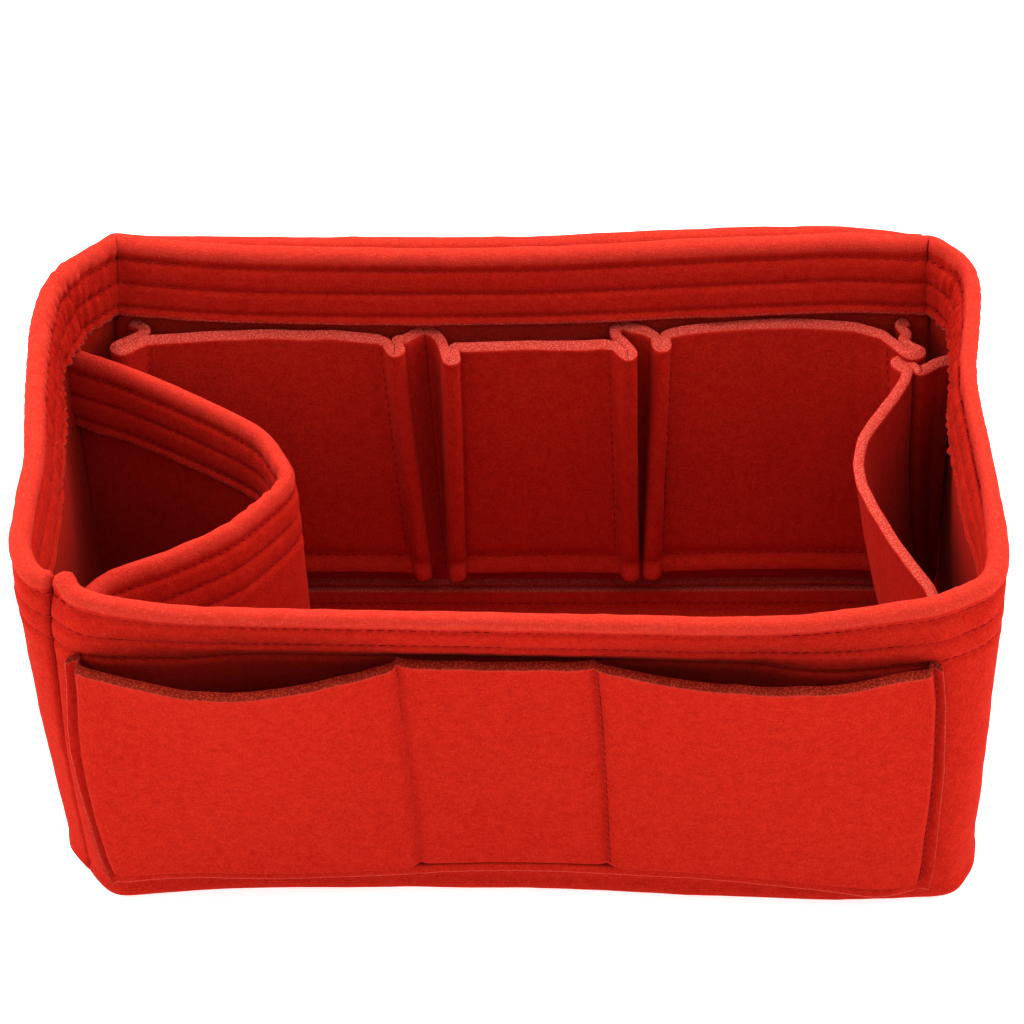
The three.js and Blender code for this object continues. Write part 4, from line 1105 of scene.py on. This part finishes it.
def build_front_pocket(s):
    skin = box_skin(s)
    t = s["felt"]
    left, right = PANEL["left"], PANEL["right"]
    marks = (
        left + 1.1, left + 2.3, PANEL["split_left"], PANEL["split_left"] + SPLIT_LEAN, PANEL["split_right"],
        right - 2.1, right - 3.4,
    )
    xs = closer_rows(left + 0.8, right - 0.8, 1.25, marks)
    xs = np.concatenate([[left, left + 0.3], xs[np.append(True, np.diff(xs) > 0.2)], [right - 0.3, right]])
    ups = closer_rows(0.8, PANEL_TALL - 1.4, 1.5, (PANEL["foot_row"] + 0.3,), 0.42)
    share = np.append(ups, [PANEL_TALL - 1.1, PANEL_TALL - 0.3]) / PANEL_TALL
    n, edge = len(share), HEM["edge"]

    def outline(face, mouth=(0, 0), back=0, foot=(0, 0)):
        """Values round the felt: outer face upwards, cut mouth, inner face downwards, cut foot."""
        return np.concatenate([np.broadcast_to(face, n), mouth, np.broadcast_to(back, n), foot]).astype(float)

    shares = outline(share, (1, 1), share[::-1])
    depth = outline(t, (t - edge, edge), 0, (edge, t - edge))
    cut, outer, shaded = outline(0, (1, 1), 0, (1, 1)), outline(1), outline(0, (0.85, 1))
    # The lip is the outer face's top ring: the pile mask lightens it as a painted highlight line
    lip = outline(np.arange(n) == n - 1)
    x = xs[:, None]
    stand = panel_stand(x, shares[None, :])
    z = panel_height(x, shares[None, :])
    # The cut mouth slopes towards the front
    z = z - 1.2 * ease((shares[None, :] - 0.95) / 0.05) * (depth[None, :] / t)
    # Over the foot's row the pocket hangs down a little
    low = shares[None, :] * PANEL_TALL - PANEL["foot_row"]
    inside = (x > left + 4) & (x < right - 5)
    z = z - 0.5 * bell(low - 1.5, 0.95) * inside * (depth[None, :] > t / 2)
    place = panel_place(s, x, shares[None, :])
    inset = -(GAP + stand + depth[None, :]) - corner_bulge(s, place, z)
    where = skin.at(place, z, inset)
    inset = inset + 0.5 * wander(where, s["uneven"], 23)
    z = z + 0.35 * (shares[None, :] > 0.97) * value_noise(where * np.array([1.0, 0.0, 0.0]), 6.0, 31)
    # One needle hole beside each stitch of the edge and dividing rows
    across = np.minimum.reduce([
        np.abs(x - left - panel_side("left", shares, 2)),
        np.abs(right - x - panel_side("right", shares, 2)),
        *(np.abs(x - panel_split(side, shares[None, :])) for side in ("left", "right")),
    ])
    holes = bell(across, 0.7) * (0.5 + 0.5 * np.cos(2 * math.pi * z / s["pitch"]))
    inset = inset + s["pit"] * 1.4 * holes * (depth[None, :] > t / 2)
    points = skin.at(place, z, inset)
    ending = ((x - left < 0.2) | (right - x < 0.2)) & (np.ones_like(z) > 0)
    mask = np.maximum(np.broadcast_to(cut, z.shape), ending * 1.0)
    faces = ring_faces(len(xs), len(shares), np.column_stack([depth, shares * PANEL_TALL]))
    return mesh_piece(
        "front_pocket_panel_felt", points.reshape(-1, 3), faces, felt_material(), ["front_pocket_panel"],
        {
            "cut": mask.ravel(),
            "shaded": np.maximum(shaded[None, :], bell(low + 0.1, 0.8) * inside * outer[None, :]).ravel(),
            "pile": np.broadcast_to(lip, z.shape).ravel(),
        },
    )


# The back panel in millimetres: how far short of the base it ends, its foot, how far it stands off the wall's
# two layers, how far its mouth dips at the ends, how far it is sewn down, and where its edge row runs
BACK = {"short": 2.5, "foot": 6.0, "off": 1.3, "dip": 3.5, "sewn": 2.4, "row": 4.5}


def back_places(s, skin):
    """The back panel's columns, and its first and last place."""
    half = s["base_length"] / 2 - BACK["short"]
    first, last = float(back_place(s, half)), float(back_place(s, -half))
    return places_by_length(skin, first, last, s["height"] - 12, 0.0, s["pitch"] / 2), first, last


def build_back_pocket(s):
    skin = box_skin(s)
    places, first, last = back_places(s, skin)
    section = hem_section(s, BACK["foot"], s["height"], s["turned"], rows_below(s["height"]))
    shift = -(2 * s["felt"] + BACK["off"])
    middle = (first + last) / 2

    def shape(place, inset, z):
        along = np.abs(place - middle) / (last - middle)
        z = z - BACK["dip"] * along**4 * ease((z - 20) / 60)
        # The sides are sewn down, so the panel dips to its rows at both ends and at its foot
        edge = np.minimum((1 - along) * s["base_length"] / 2, z - BACK["foot"])
        below = 1 - ease((z - s["height"] + s["hem"] + 14) / 12)
        sunk = BACK["sewn"] * (1 - ease((edge - 3.5) / 4.5)) * below
        groove = 0.5 * bell(edge - BACK["row"], 1.0) * below
        return place, inset + sunk + groove, z - 0.8 * ease((z - 60) / 60)

    return folded_wall(
        s, "back_pocket_panel_felt", skin, places, section, shift, 41, ["back_pocket_panel"], shape
    )


# Pinned pockets: heights of their foot, row and mouth, how far they stand off, and how fast they open upwards
INNER = {"foot": 20.0, "row": 24.6, "top": 103.2, "depth": 14.0, "power": 1.0}
SIDE = {"foot": 20.0, "row": 26.0, "top": 101.0, "depth": 31.5, "power": 0.5}
# From a ridge to its row of stitches, and between a strip's columns, in millimetres
PIN_ROW, FINE = 2.1, 0.7
# A strip's felt in millimetres: how far it bellies, its foot lifts and its row sinks, how deep its ridge rows
# are, and how much fuller, more uneven and further forwards its cut mouth is
PINNED = {
    "belly": 0.65, "lift": 2.3, "sunk": 1.1, "sunk_wide": 1.9, "row": 0.4, "row_wide": 0.8,
    "fuller": 0.28, "uneven": 0.4, "forwards": 0.75,
}


def ridge_points(root, tip, pinch, side_sign):
    """A hairpin fold: up one side, across a blunt tip and back."""
    way = (tip - root) / (np.linalg.norm(tip - root) + 1e-9)
    side = side_sign * np.array([-way[1], way[0]])
    crown = tip - way * pinch
    turn = np.linspace(0, math.pi, 9)
    along, out = np.cos(turn), np.sin(turn)
    blunt = np.column_stack([np.sign(along) * np.abs(along) ** 0.7, np.abs(out) ** 0.7])
    round_tip = crown + pinch * (blunt[:, :1] * side + blunt[:, 1:] * way)
    return [root + side * pinch, *round_tip, root - side * pinch]


def pinned_line(path, along_unit, depth, pinch, side_sign):
    """Even points of a pinned strip at its mouth and foot, with the first and last column of each entry."""
    mouth, foot, spans = [], [], []
    scale = np.array([along_unit, depth])
    for entry in path:
        begin = len(mouth)
        # Pairs of place and stand: first those of the mouth, then those of the foot
        for line, first in ((mouth, 0), (foot, 1)):
            pairs = [np.array([entry[k], entry[k + 2]]) * scale for k in range(first, len(entry), 4)]
            line += pairs if len(pairs) == 1 else ridge_points(*pairs, pinch, side_sign)
        spans.append((begin, len(mouth) - 1))
    mouth, foot = np.array(mouth, float), np.array(foot, float)
    steps = np.maximum(
        np.linalg.norm(np.diff(mouth, axis=0), axis=1), np.linalg.norm(np.diff(foot, axis=0), axis=1)
    )
    counts = np.maximum(1, np.round(steps / FINE)).astype(int)
    share = np.concatenate([i + np.arange(n) / n for i, n in enumerate(counts)] + [[len(counts)]])
    index = np.arange(len(mouth))
    lines = [
        softened(np.column_stack([np.interp(share, index, line[:, k]) for k in (0, 1)]), 0.9, False)
        for line in (mouth, foot)
    ]
    columns = [tuple(int(np.argmin(np.abs(share - knot))) for knot in span) for span in spans]
    return lines[0], lines[1], columns


def pinned_strip(s, name, path, wall, along_unit, place_at, replaced, seed, side_sign):
    """A raw-edged strip of felt pinned into ridges and sewn to a wall, and its rows' lines."""
    skin, t = box_skin(s), s["felt"]
    mouth, foot, spans = pinned_line(path, along_unit, wall["depth"], t / 2 + 0.08, side_sign)
    heights = np.concatenate([
        closer_rows(wall["foot"] + 0.4, wall["top"] - 1.6, 2.0, (wall["row"],)),
        [wall["top"] - 1.3, wall["top"] - 0.3],
    ])
    ridges = [span for span, entry in zip(spans, path) if len(entry) == 8]
    back = int(round(PIN_ROW / FINE))
    rows = [span[1] + back if k % 2 == 0 else span[0] - back for k, span in enumerate(ridges)]
    column = np.arange(len(mouth))
    near_row = sum(bell((column - row) * FINE, PINNED["row_wide"]) for row in rows)
    valleys = [span[0] for span, entry in zip(spans, path) if len(entry) == 4 and entry[2] < -0.1]

    def centre(z):
        rise = (z - wall["foot"]) / (wall["top"] - wall["foot"])
        swell = (np.maximum(z - wall["row"], 0.0) / (wall["top"] - wall["row"])) ** wall["power"]
        belly = PINNED["belly"] * np.sin(np.pi * np.clip(rise, 0, 1)) ** 1.5
        along = foot[:, :1] + (mouth[:, :1] - foot[:, :1]) * rise[None, :]
        stand = foot[:, 1:] + (mouth[:, 1:] - foot[:, 1:]) * swell[None, :]
        tied = np.minimum(np.abs(stand) / 3.0, 1.0)
        lift = PINNED["lift"] * ease((wall["row"] - z) / (wall["row"] - wall["foot"]))[None, :]
        sunk = PINNED["sunk"] * bell(z - wall["row"], PINNED["sunk_wide"])[None, :]
        stand = stand + tied * (belly[None, :] + lift - sunk)
        return skin.at(place_at(along), z[None, :] + 0 * along, t + GAP + t / 2 + stand)

    def both(z, offsets):
        """Points of each column at heights, at signed distances from the felt's middle."""
        middle = centre(z)
        run = np.gradient(middle[:, :, :2], axis=0)
        run /= np.linalg.norm(run, axis=2)[:, :, None] + 1e-9
        normal = np.stack([-run[:, :, 1], run[:, :, 0], np.zeros(run.shape[:2])], axis=-1)
        return middle + normal * np.asarray(offsets)[None, :, None], normal

    z = np.concatenate([heights, [wall["top"], wall["top"]], heights[::-1], [wall["foot"], wall["foot"]]])
    h = t / 2
    n = len(heights)
    offset = np.concatenate([np.full(n, -h), [-h + 0.3, h - 0.3], np.full(n, h), [h - 0.3, -h + 0.3]])
    # The cut mouth is a little fuller than the felt below it
    fuller = PINNED["fuller"] * near_top(z, wall["top"], 3.0, 2.0)
    offset = offset * (1 + fuller / h)
    cut = np.concatenate([np.zeros(n), [1, 1], np.zeros(n), [1, 1]])
    points, normal = both(z, offset)
    points = points + normal * (0.55 * wander(points, s["uneven"], seed))[:, :, None]
    front = (offset < 0) * ease((z - wall["row"] - 1) / 2) * ease((wall["top"] - z) / 3)
    pits = 0.75 + 0.25 * np.cos(2 * math.pi * z / s["pitch"])
    points = points + normal * (PINNED["row"] * near_row[:, None] * (front * pits)[None, :])[:, :, None]
    top = np.maximum(0.0, (z - wall["top"] + 3) / 3)[None, :]
    points[:, :, 2] += top * PINNED["uneven"] * value_noise(points * np.array([1, 1, 0]), 9.0, seed + 3)
    # The cut mouth faces forwards a little
    points[:, :, 2] += top * PINNED["forwards"] * (offset / h)[None, :] * normal[:, :, 1]
    faces = ring_faces(len(mouth), len(z), np.column_stack([offset, z]))
    mask = np.broadcast_to(cut, z[None, :].shape) * np.ones((len(mouth), 1))
    ends = np.zeros_like(mask)
    ends[0], ends[-1] = 1, 1
    mesh_piece(
        name, points.reshape(-1, 3), faces, felt_material(), replaced, {"cut": np.maximum(mask, ends).ravel()}
    )

    def face_line(first, last, z_list):
        """Line over the face: along its columns at one height, or up one column."""
        spots, out = both(np.asarray(z_list, float), [-h] * len(z_list))
        if last > first + 1:
            return spots[first:last, 0], -out[first:last, 0]
        return spots[first], -out[first]

    return face_line, rows, valleys


def build_inner_pockets(s):
    half = s["base_length"] / 2
    face_line, rows, valleys = pinned_strip(
        s, "inner_pocket_strip", INNER_PATH, INNER, half, lambda x: back_place(s, x),
        ["inner_pocket_left", "inner_pocket_middle", "inner_pocket_right"], 61, 1.0,
    )
    for side, pair in zip(("left", "middle", "right"), (rows[0:2], rows[2:4], rows[4:6])):
        sew_pocket(s, "inner_pocket_" + side, INNER, face_line, *pair)
    for side, valley in zip(("left", "right"), valleys):
        heights = np.arange(INNER["row"] + 3, INNER["top"] - 3, 1.0)
        line, out = face_line(valley, valley, heights)
        name = "inner_pocket_valley_thread_" + side
        stitch_row(s, name + "_stitches", line, out, name)


def sew_pocket(s, node, wall, face_line, first, last):
    """Rows of stitches along a pocket's foot and beside its two ridges."""
    line, out = face_line(first, last, [wall["row"]])
    stitch_row(s, node + "_foot_stitches", line, out, node + "_foot_thread", -0.15)
    heights = np.arange(wall["row"] + 3, wall["top"] - 2.5, 1.0)
    for index, column in ((1, first), (2, last)):
        line, out = face_line(column, column, heights)
        stitch_row(s, f"{node}_ridge_stitches_{index}", line, out, f"{node}_ridge_thread_{index}", -0.5)


def build_side_pocket(s):
    skin = box_skin(s)
    line = skin.at(np.linspace(STARTS["right"], STARTS["back"], 200), 60.0, 0.0)
    wide = np.linalg.norm(np.diff(line, axis=0), axis=1).sum()
    face_line, rows, _ = pinned_strip(
        s, "side_pocket_strip", SIDE_PATH, SIDE, wide, lambda a: right_place(a / wide),
        ["side_pocket"], 83, -1.0,
    )
    sew_pocket(s, "side_pocket", SIDE, face_line, rows[0], rows[1])


# Bottle cell in millimetres: its height, its nose and ends at the floor, how far back its rim goes, and where
# its front end starts
CELL = {
    "top": 105.5, "nose": 62.5, "back": 49.0, "front": 55.0, "rim_back": 75.0,
    "front_at_floor": 121.0, "front_at_rim": 131.0, "end_inset": 2.0, "end_clear": 3.0,
}
CELL_PLACES, CELL_ROUNDING = 100.0, 9.0
# Creases round its nose: how wide that is in places, how deep, and how much lower and slimmer the roll is
NOSE = {"wide": 13.0, "crease": 0.2, "lower": 0.5, "slimmer": 0.17}


def cell_skin(s):
    """The bottle cell's outer face, from the front seam round its nose to the left wall."""
    box, t = box_skin(s), s["felt"]
    foot_height = t + GAP
    roll = spline(np.array(CELL_SHARES) * np.array(RIM_HALF), 12)
    outer = roll - left_normals(roll, False) * t
    nose, rim_front = outer[:, 0].max(), outer[:, 1].min()
    reach = (outer[:, 0] + RIM_HALF[0]) / (nose + RIM_HALF[0])
    along = (outer[:, 1] - rim_front) / (CELL["rim_back"] - rim_front)
    far = s["base_length"] / 2 - 3 * t - 2 * GAP
    floor = np.column_stack([
        -far + (far - CELL["nose"]) * reach, -CELL["front"] + (CELL["front"] + CELL["back"]) * along
    ])
    lines = []
    points, clear = 900, CELL["end_clear"]
    for z, middle, front_x, back_y in (
        (foot_height, floor, CELL["front_at_floor"], CELL["back"]),
        (CELL["top"], outer, CELL["front_at_rim"], CELL["rim_back"]),
    ):
        end_place = front_place(s, -front_x)
        start = box.at(end_place, z, CELL["end_inset"] - corner_bulge(s, end_place, z))[:2]
        left = np.linspace(STARTS["left"], STARTS["seam"], 400)
        wall = box.at(left, z, CELL["end_inset"] + band_dent(s, left, z))
        end = wall[np.argmin(np.abs(wall[:, 1] - back_y)), :2]
        inside = middle[(middle[:, 0] > start[0] + clear) | (middle[:, 1] > 0)]
        inside = inside[(inside[:, 0] > end[0] + clear) | (inside[:, 1] < 0)]
        line = np.vstack([start, inside, end])
        lines.append(softened(spaced(line, points), CELL_ROUNDING, False))
    places = np.linspace(0.0, CELL_PLACES, points + 1)
    return Skin(places, lines[0], lines[1], foot_height, CELL["top"])


def cell_places(s, skin):
    return places_by_length(skin, 0.0, CELL_PLACES, CELL["top"] - 10, 3.0, s["pitch"] / 2)


def build_bottle_cell(s):
    skin = cell_skin(s)
    places = cell_places(s, skin)
    t, top = s["felt"], CELL["top"]
    section = hem_section(s, t + GAP, top, 0.0, rows_below(top))
    nose = float(places[np.argmax(skin.at(places, top, 0.0)[:, 0])])

    def shape(place, inset, z):
        off = place - nose
        tight = bell(off, NOSE["wide"])
        waves = np.sin(off * 1.9 + 0.5 * np.sin(z * 0.3)) + 0.6 * np.sin(off * 3.3 + 1.0)
        crease = NOSE["crease"] * waves * tight
        inner = ease((inset - t) / 2.0)
        inset = t + (inset - t) * (1 - NOSE["slimmer"] * near_top(z, top, 9, 5))
        inset = inset + crease * near_top(z, top, 32, 16) * (0.4 + inner)
        z = z + crease * near_top(z, top, 3, 3) - NOSE["lower"] * tight
        return place, inset, z

    return folded_wall(s, "bottle_cell_felt", skin, places, section, 0.0, 101, ["bottle_cell_wall"], shape)


# Rows of stitching

def skin_row(s, name, node, skin, places, z, inset, outward):
    """A row of stitches along a skin, on its outer face where outward is minus one."""
    line = skin.at(places, z, inset)
    away = skin.at(places, z, inset + outward) - line
    return stitch_row(s, name, line, away, node)


# How far below the groove a row of thread lies
THREAD_SINK = 0.2
# The back panel's edge row starts this high, and ends this far below the hem
BACK_ROW = {"low": 10.5, "below_hem": 6.0, "seat": 0.92, "out": 0.55}


def build_rim_rows(s):
    skin = box_skin(s)
    places, t = wall_places(s, skin), s["felt"]
    deep = s["groove"] + THREAD_SINK
    for index, height in enumerate(rows_below(s["height"]), 1):
        z = height - low_front(places, height, s["height"])
        lean = band_dent(s, places, z) - corner_bulge(s, places, z)
        outer, inner = f"rim_row_outer_{index}", f"rim_row_inner_{index}"
        skin_row(s, f"rim_stitches_outer_{index}", outer, skin, places, z, deep + lean, -1.0)
        skin_row(s, f"rim_stitches_inner_{index}", inner, skin, places, z, 2 * t - deep + lean, 1.0)
    cell = cell_skin(s)
    spots = cell_places(s, cell)[3:-3]
    for index, z in enumerate(rows_below(CELL["top"]), 1):
        for side, inset, outward in (("outer", deep, -1.0), ("inner", 2 * t - deep, 1.0)):
            name, node = f"cell_stitches_{side}_{index}", f"bottle_cell_row_{side}_{index}"
            skin_row(s, name, node, cell, spots, z, inset, outward)


def build_front_rows(s):
    """Rows along the front panel's edge and between its pockets."""
    skin, t = box_skin(s), s["felt"]

    def on_panel(xs, share):
        xs, share = np.asarray(xs, float), np.asarray(share, float)
        place, z = panel_place(s, xs, share), panel_height(xs, share)
        inset = -(GAP + panel_stand(xs, share) + t) - corner_bulge(s, place, z)
        line = skin.at(place, z, inset)
        return line, skin.at(place, z, inset - 1.0) - line

    first = PANEL["left"] + panel_side("left", 0.05, 2)
    last = PANEL["right"] - panel_side("right", 0.05, 2)
    across = np.linspace(first, last, 220)
    foot, mouth = panel_edges(across)
    low, high = PANEL["foot_row"] / (mouth - foot), 0.982
    down, up = np.linspace(high, low[0], 70), np.linspace(low[-1], high, 70)
    xs = np.concatenate([
        PANEL["left"] + panel_side("left", down, 2),
        across[1:-1],
        PANEL["right"] - panel_side("right", up, 2),
    ])
    shares = np.concatenate([down, low[1:-1], up])
    line, out = on_panel(xs, shares)
    stitch_row(s, "front_pocket_edge_stitches", line, out, "front_pocket_edge_thread", -0.05)
    for side in ("left", "right"):
        ups = np.linspace(0.06, high, 60)
        line, out = on_panel(panel_split(side, ups), ups)
        node = "front_pocket_divider_thread_" + side
        stitch_row(s, f"front_pocket_divider_stitches_{side}", line, out, node, -0.1)


def build_back_rows(s):
    """Rows along the back panel's hem and edge."""
    skin = box_skin(s)
    places, first, last = back_places(s, skin)
    places = places[2:-2]
    drop = BACK["dip"] * (np.abs(places - (first + last) / 2) / ((last - first) / 2)) ** 4
    outer = -(2 * s["felt"] + BACK["off"])
    for index, height in enumerate(rows_below(s["height"]), 1):
        name, node = f"back_pocket_stitches_{index}", f"back_pocket_row_{index}"
        inset = outer + s["groove"] + THREAD_SINK
        skin_row(s, name, node, skin, places, height - drop, inset, -1.0)
    ups = np.arange(BACK_ROW["low"], s["height"] - s["hem"] - BACK_ROW["below_hem"], 1.0)
    edge = BACK["row"] * SEGMENTS["back"] / s["base_length"]
    along = np.linspace(first + edge, last - edge, 200)
    places = np.concatenate([np.full(len(ups), along[0]), along, np.full(len(ups), along[-1])])
    z = np.concatenate([ups[::-1], np.full(len(along), BACK_ROW["low"]), ups])
    inset = outer + BACK["sewn"] * BACK_ROW["seat"] + BACK_ROW["out"]
    skin_row(s, "back_pocket_edge_stitches", "back_pocket_edge_thread", skin, places, z, inset, -1.0)


def build_seams(s):
    """The base's seam, the upright corner seam and the two tucks."""
    skin, t = box_skin(s), s["felt"]
    ring = np.linspace(0.3, STATIONS - 0.3, 500)
    inset = 3 * t + GAP - 0.1
    skin_row(s, "base_seam_stitches", "base_seam_thread", skin, ring, FOOT_SEAM["at"], inset, 1.0)
    z = np.arange(6.0, s["height"] - 6.0, 1.0)
    seam = seam_shift(np.zeros(len(z)), z / s["height"])
    inset = 1.5 - corner_bulge(s, seam, z)
    skin_row(s, "corner_seam_stitches", "corner_seam_thread", skin, seam, z, inset, -1.0)
    hem = s["height"] - s["hem"]
    for side, corner in (("left", STARTS["left"]), ("right", STARTS["back"])):
        z = np.arange(s["turned"] + 4, s["height"] - 7, 1.0)
        inset = np.where(z > hem, 2 * t, t) - 2.2
        name, node = f"back_{side}_tuck_stitches", f"back_{side}_tuck_thread"
        skin_row(s, name, node, skin, np.full(len(z), corner), z, inset, 1.0)


# Floor, light and camera

# The camera of the photo, in metres, degrees and millimetres of lens and film
CAMERA = {"place": (-0.0039, -0.8183, 0.7632), "tilt": 50.8, "lens": 120.7, "film": 36.0}
# Where each lamp hangs, all aimed at the middle of the box, and their size, in metres
LAMPS = {
    "back_left": (-0.85, 0.85, 1.26),
    "back_right": (0.6, 0.6, 1.53),
    "right": (1.52, 0.0, 0.82),
    "left": (-1.45, 0.0, 0.95),
}
LAMP_SIZE, LAMP_AIM = 1.0, (0.0, 0.0, 0.06)
# Half the floor's width, and how far it lies below the base so that the two don't touch
FLOOR_HALF, FLOOR_DROP = 6.0, 0.0004
WHITE = (1.0, 1.0, 1.0, 1.0)


def build_stage(settings):
    scene = bpy.context.scene
    world = bpy.data.worlds.new("even_light")
    scene.world = world
    world.use_nodes = True
    socket_values(world.node_tree.nodes["Background"], Color=WHITE, Strength=settings.sky)
    mesh = bpy.data.meshes.new("floor")
    corners = [(x * FLOOR_HALF, y * FLOOR_HALF, 0.0) for x, y in ((-1, -1), (1, -1), (1, 1), (-1, 1))]
    mesh.from_pydata(corners, [], [(0, 1, 2, 3)])
    floor = bpy.data.objects.new("floor", mesh)
    scene.collection.objects.link(floor)
    floor.location.z = -FLOOR_DROP
    material = bpy.data.materials.new("pale_floor")
    material.use_nodes = True
    shader = material.node_tree.nodes["Principled BSDF"]
    socket_values(shader, Base_Color=rgba(settings.floor), Roughness=0.9, Specular_IOR_Level=0.1)
    socket_values(shader, Emission_Color=WHITE, Emission_Strength=settings.glow)
    mesh.materials.append(material)
    for key, place in LAMPS.items():
        data = bpy.data.lights.new(key + "_light", "AREA")
        data.size, data.energy = LAMP_SIZE, getattr(settings, key)
        lamp = bpy.data.objects.new(key + "_light", data)
        scene.collection.objects.link(lamp)
        lamp.location = place
        way = Vector(LAMP_AIM) - Vector(place)
        lamp.rotation_euler = way.to_track_quat("-Z", "Y").to_euler()
    data = bpy.data.cameras.new("camera")
    data.lens, data.sensor_width = CAMERA["lens"], CAMERA["film"]
    camera = bpy.data.objects.new("camera", data)
    scene.collection.objects.link(camera)
    camera.location = CAMERA["place"]
    camera.rotation_euler = (math.radians(CAMERA["tilt"]), 0.0, 0.0)
    scene.camera = camera
    scene.view_settings.view_transform = "Standard"
    scene.view_settings.gamma = 1 / settings.contrast


# Operators and panel

class ORGANIZER_OT_walls(bpy.types.Operator):
    """Build the strip of felt that makes the four walls, with its folded rim and turned foot"""

    bl_idname = "organizer.walls"
    bl_label = "Walls"

    def execute(self, context):
        build_walls(sizes())
        return {"FINISHED"}


class ORGANIZER_OT_base(bpy.types.Operator):
    """Build the base with its turned up lip"""

    bl_idname = "organizer.base"
    bl_label = "Base"

    def execute(self, context):
        build_base(sizes())
        return {"FINISHED"}


class ORGANIZER_OT_front_pocket(bpy.types.Operator):
    """Build the front slip pocket"""

    bl_idname = "organizer.front_pocket"
    bl_label = "Front pocket"

    def execute(self, context):
        build_front_pocket(sizes())
        return {"FINISHED"}


class ORGANIZER_OT_back_pocket(bpy.types.Operator):
    """Build the back slip pocket"""

    bl_idname = "organizer.back_pocket"
    bl_label = "Back pocket"

    def execute(self, context):
        build_back_pocket(sizes())
        return {"FINISHED"}


class ORGANIZER_OT_inner_pockets(bpy.types.Operator):
    """Build the pinned strip of three pockets on the back wall, with its stitches"""

    bl_idname = "organizer.inner_pockets"
    bl_label = "Inner pockets"

    def execute(self, context):
        build_inner_pockets(sizes())
        return {"FINISHED"}


class ORGANIZER_OT_side_pocket(bpy.types.Operator):
    """Build the pinned pocket on the right wall, with its stitches"""

    bl_idname = "organizer.side_pocket"
    bl_label = "Side pocket"

    def execute(self, context):
        build_side_pocket(sizes())
        return {"FINISHED"}


class ORGANIZER_OT_bottle_cell(bpy.types.Operator):
    """Build the looped bottle cell"""

    bl_idname = "organizer.bottle_cell"
    bl_label = "Bottle cell"

    def execute(self, context):
        build_bottle_cell(sizes())
        return {"FINISHED"}


class ORGANIZER_OT_stitching(bpy.types.Operator):
    """Sew the rows of stitches round the rim, the cell and the outer panels"""

    bl_idname = "organizer.stitching"
    bl_label = "Stitching"

    def execute(self, context):
        for build in (build_rim_rows, build_front_rows, build_back_rows, build_seams):
            build(sizes())
        return {"FINISHED"}


class ORGANIZER_OT_stage(bpy.types.Operator):
    """Set the floor, the lights and the camera"""

    bl_idname = "organizer.stage"
    bl_label = "Stage"

    def execute(self, context):
        build_stage(context.scene.studio_settings)
        return {"FINISHED"}


STEPS = (
    ORGANIZER_OT_walls, ORGANIZER_OT_base, ORGANIZER_OT_front_pocket, ORGANIZER_OT_back_pocket,
    ORGANIZER_OT_inner_pockets, ORGANIZER_OT_side_pocket, ORGANIZER_OT_bottle_cell,
    ORGANIZER_OT_stitching, ORGANIZER_OT_stage,
)


class ORGANIZER_PT_panel(bpy.types.Panel):
    """Lists the sizes, the colours and the steps"""

    bl_idname = "ORGANIZER_PT_panel"
    bl_label = "Felt Organizer"
    bl_space_type = "VIEW_3D"
    bl_region_type = "UI"
    bl_category = "Organizer"

    def draw(self, context):
        for name, group in GROUPS:
            box = self.layout.box()
            for key in group.__annotations__:
                box.prop(getattr(context.scene, name), key)
        for step in STEPS:
            self.layout.operator(step.bl_idname)


GROUPS = (
    ("organizer_sizes", OrganizerSizes), ("felt_colours", FeltColours), ("studio_settings", StudioSettings),
)


def register():
    for _, group in GROUPS:
        bpy.utils.register_class(group)
    for item in (*STEPS, ORGANIZER_PT_panel):
        bpy.utils.register_class(item)
    for name, group in GROUPS:
        setattr(bpy.types.Scene, name, bpy.props.PointerProperty(type=group))


def unregister():
    for name, _ in GROUPS:
        delattr(bpy.types.Scene, name)
    for item in (ORGANIZER_PT_panel, *reversed(STEPS)):
        bpy.utils.unregister_class(item)
    for _, group in reversed(GROUPS):
        bpy.utils.unregister_class(group)


def main():
    register()
    for step in STEPS:
        family, name = step.bl_idname.split(".")
        getattr(getattr(bpy.ops, family), name)()


if __name__ == "__main__":
    main()
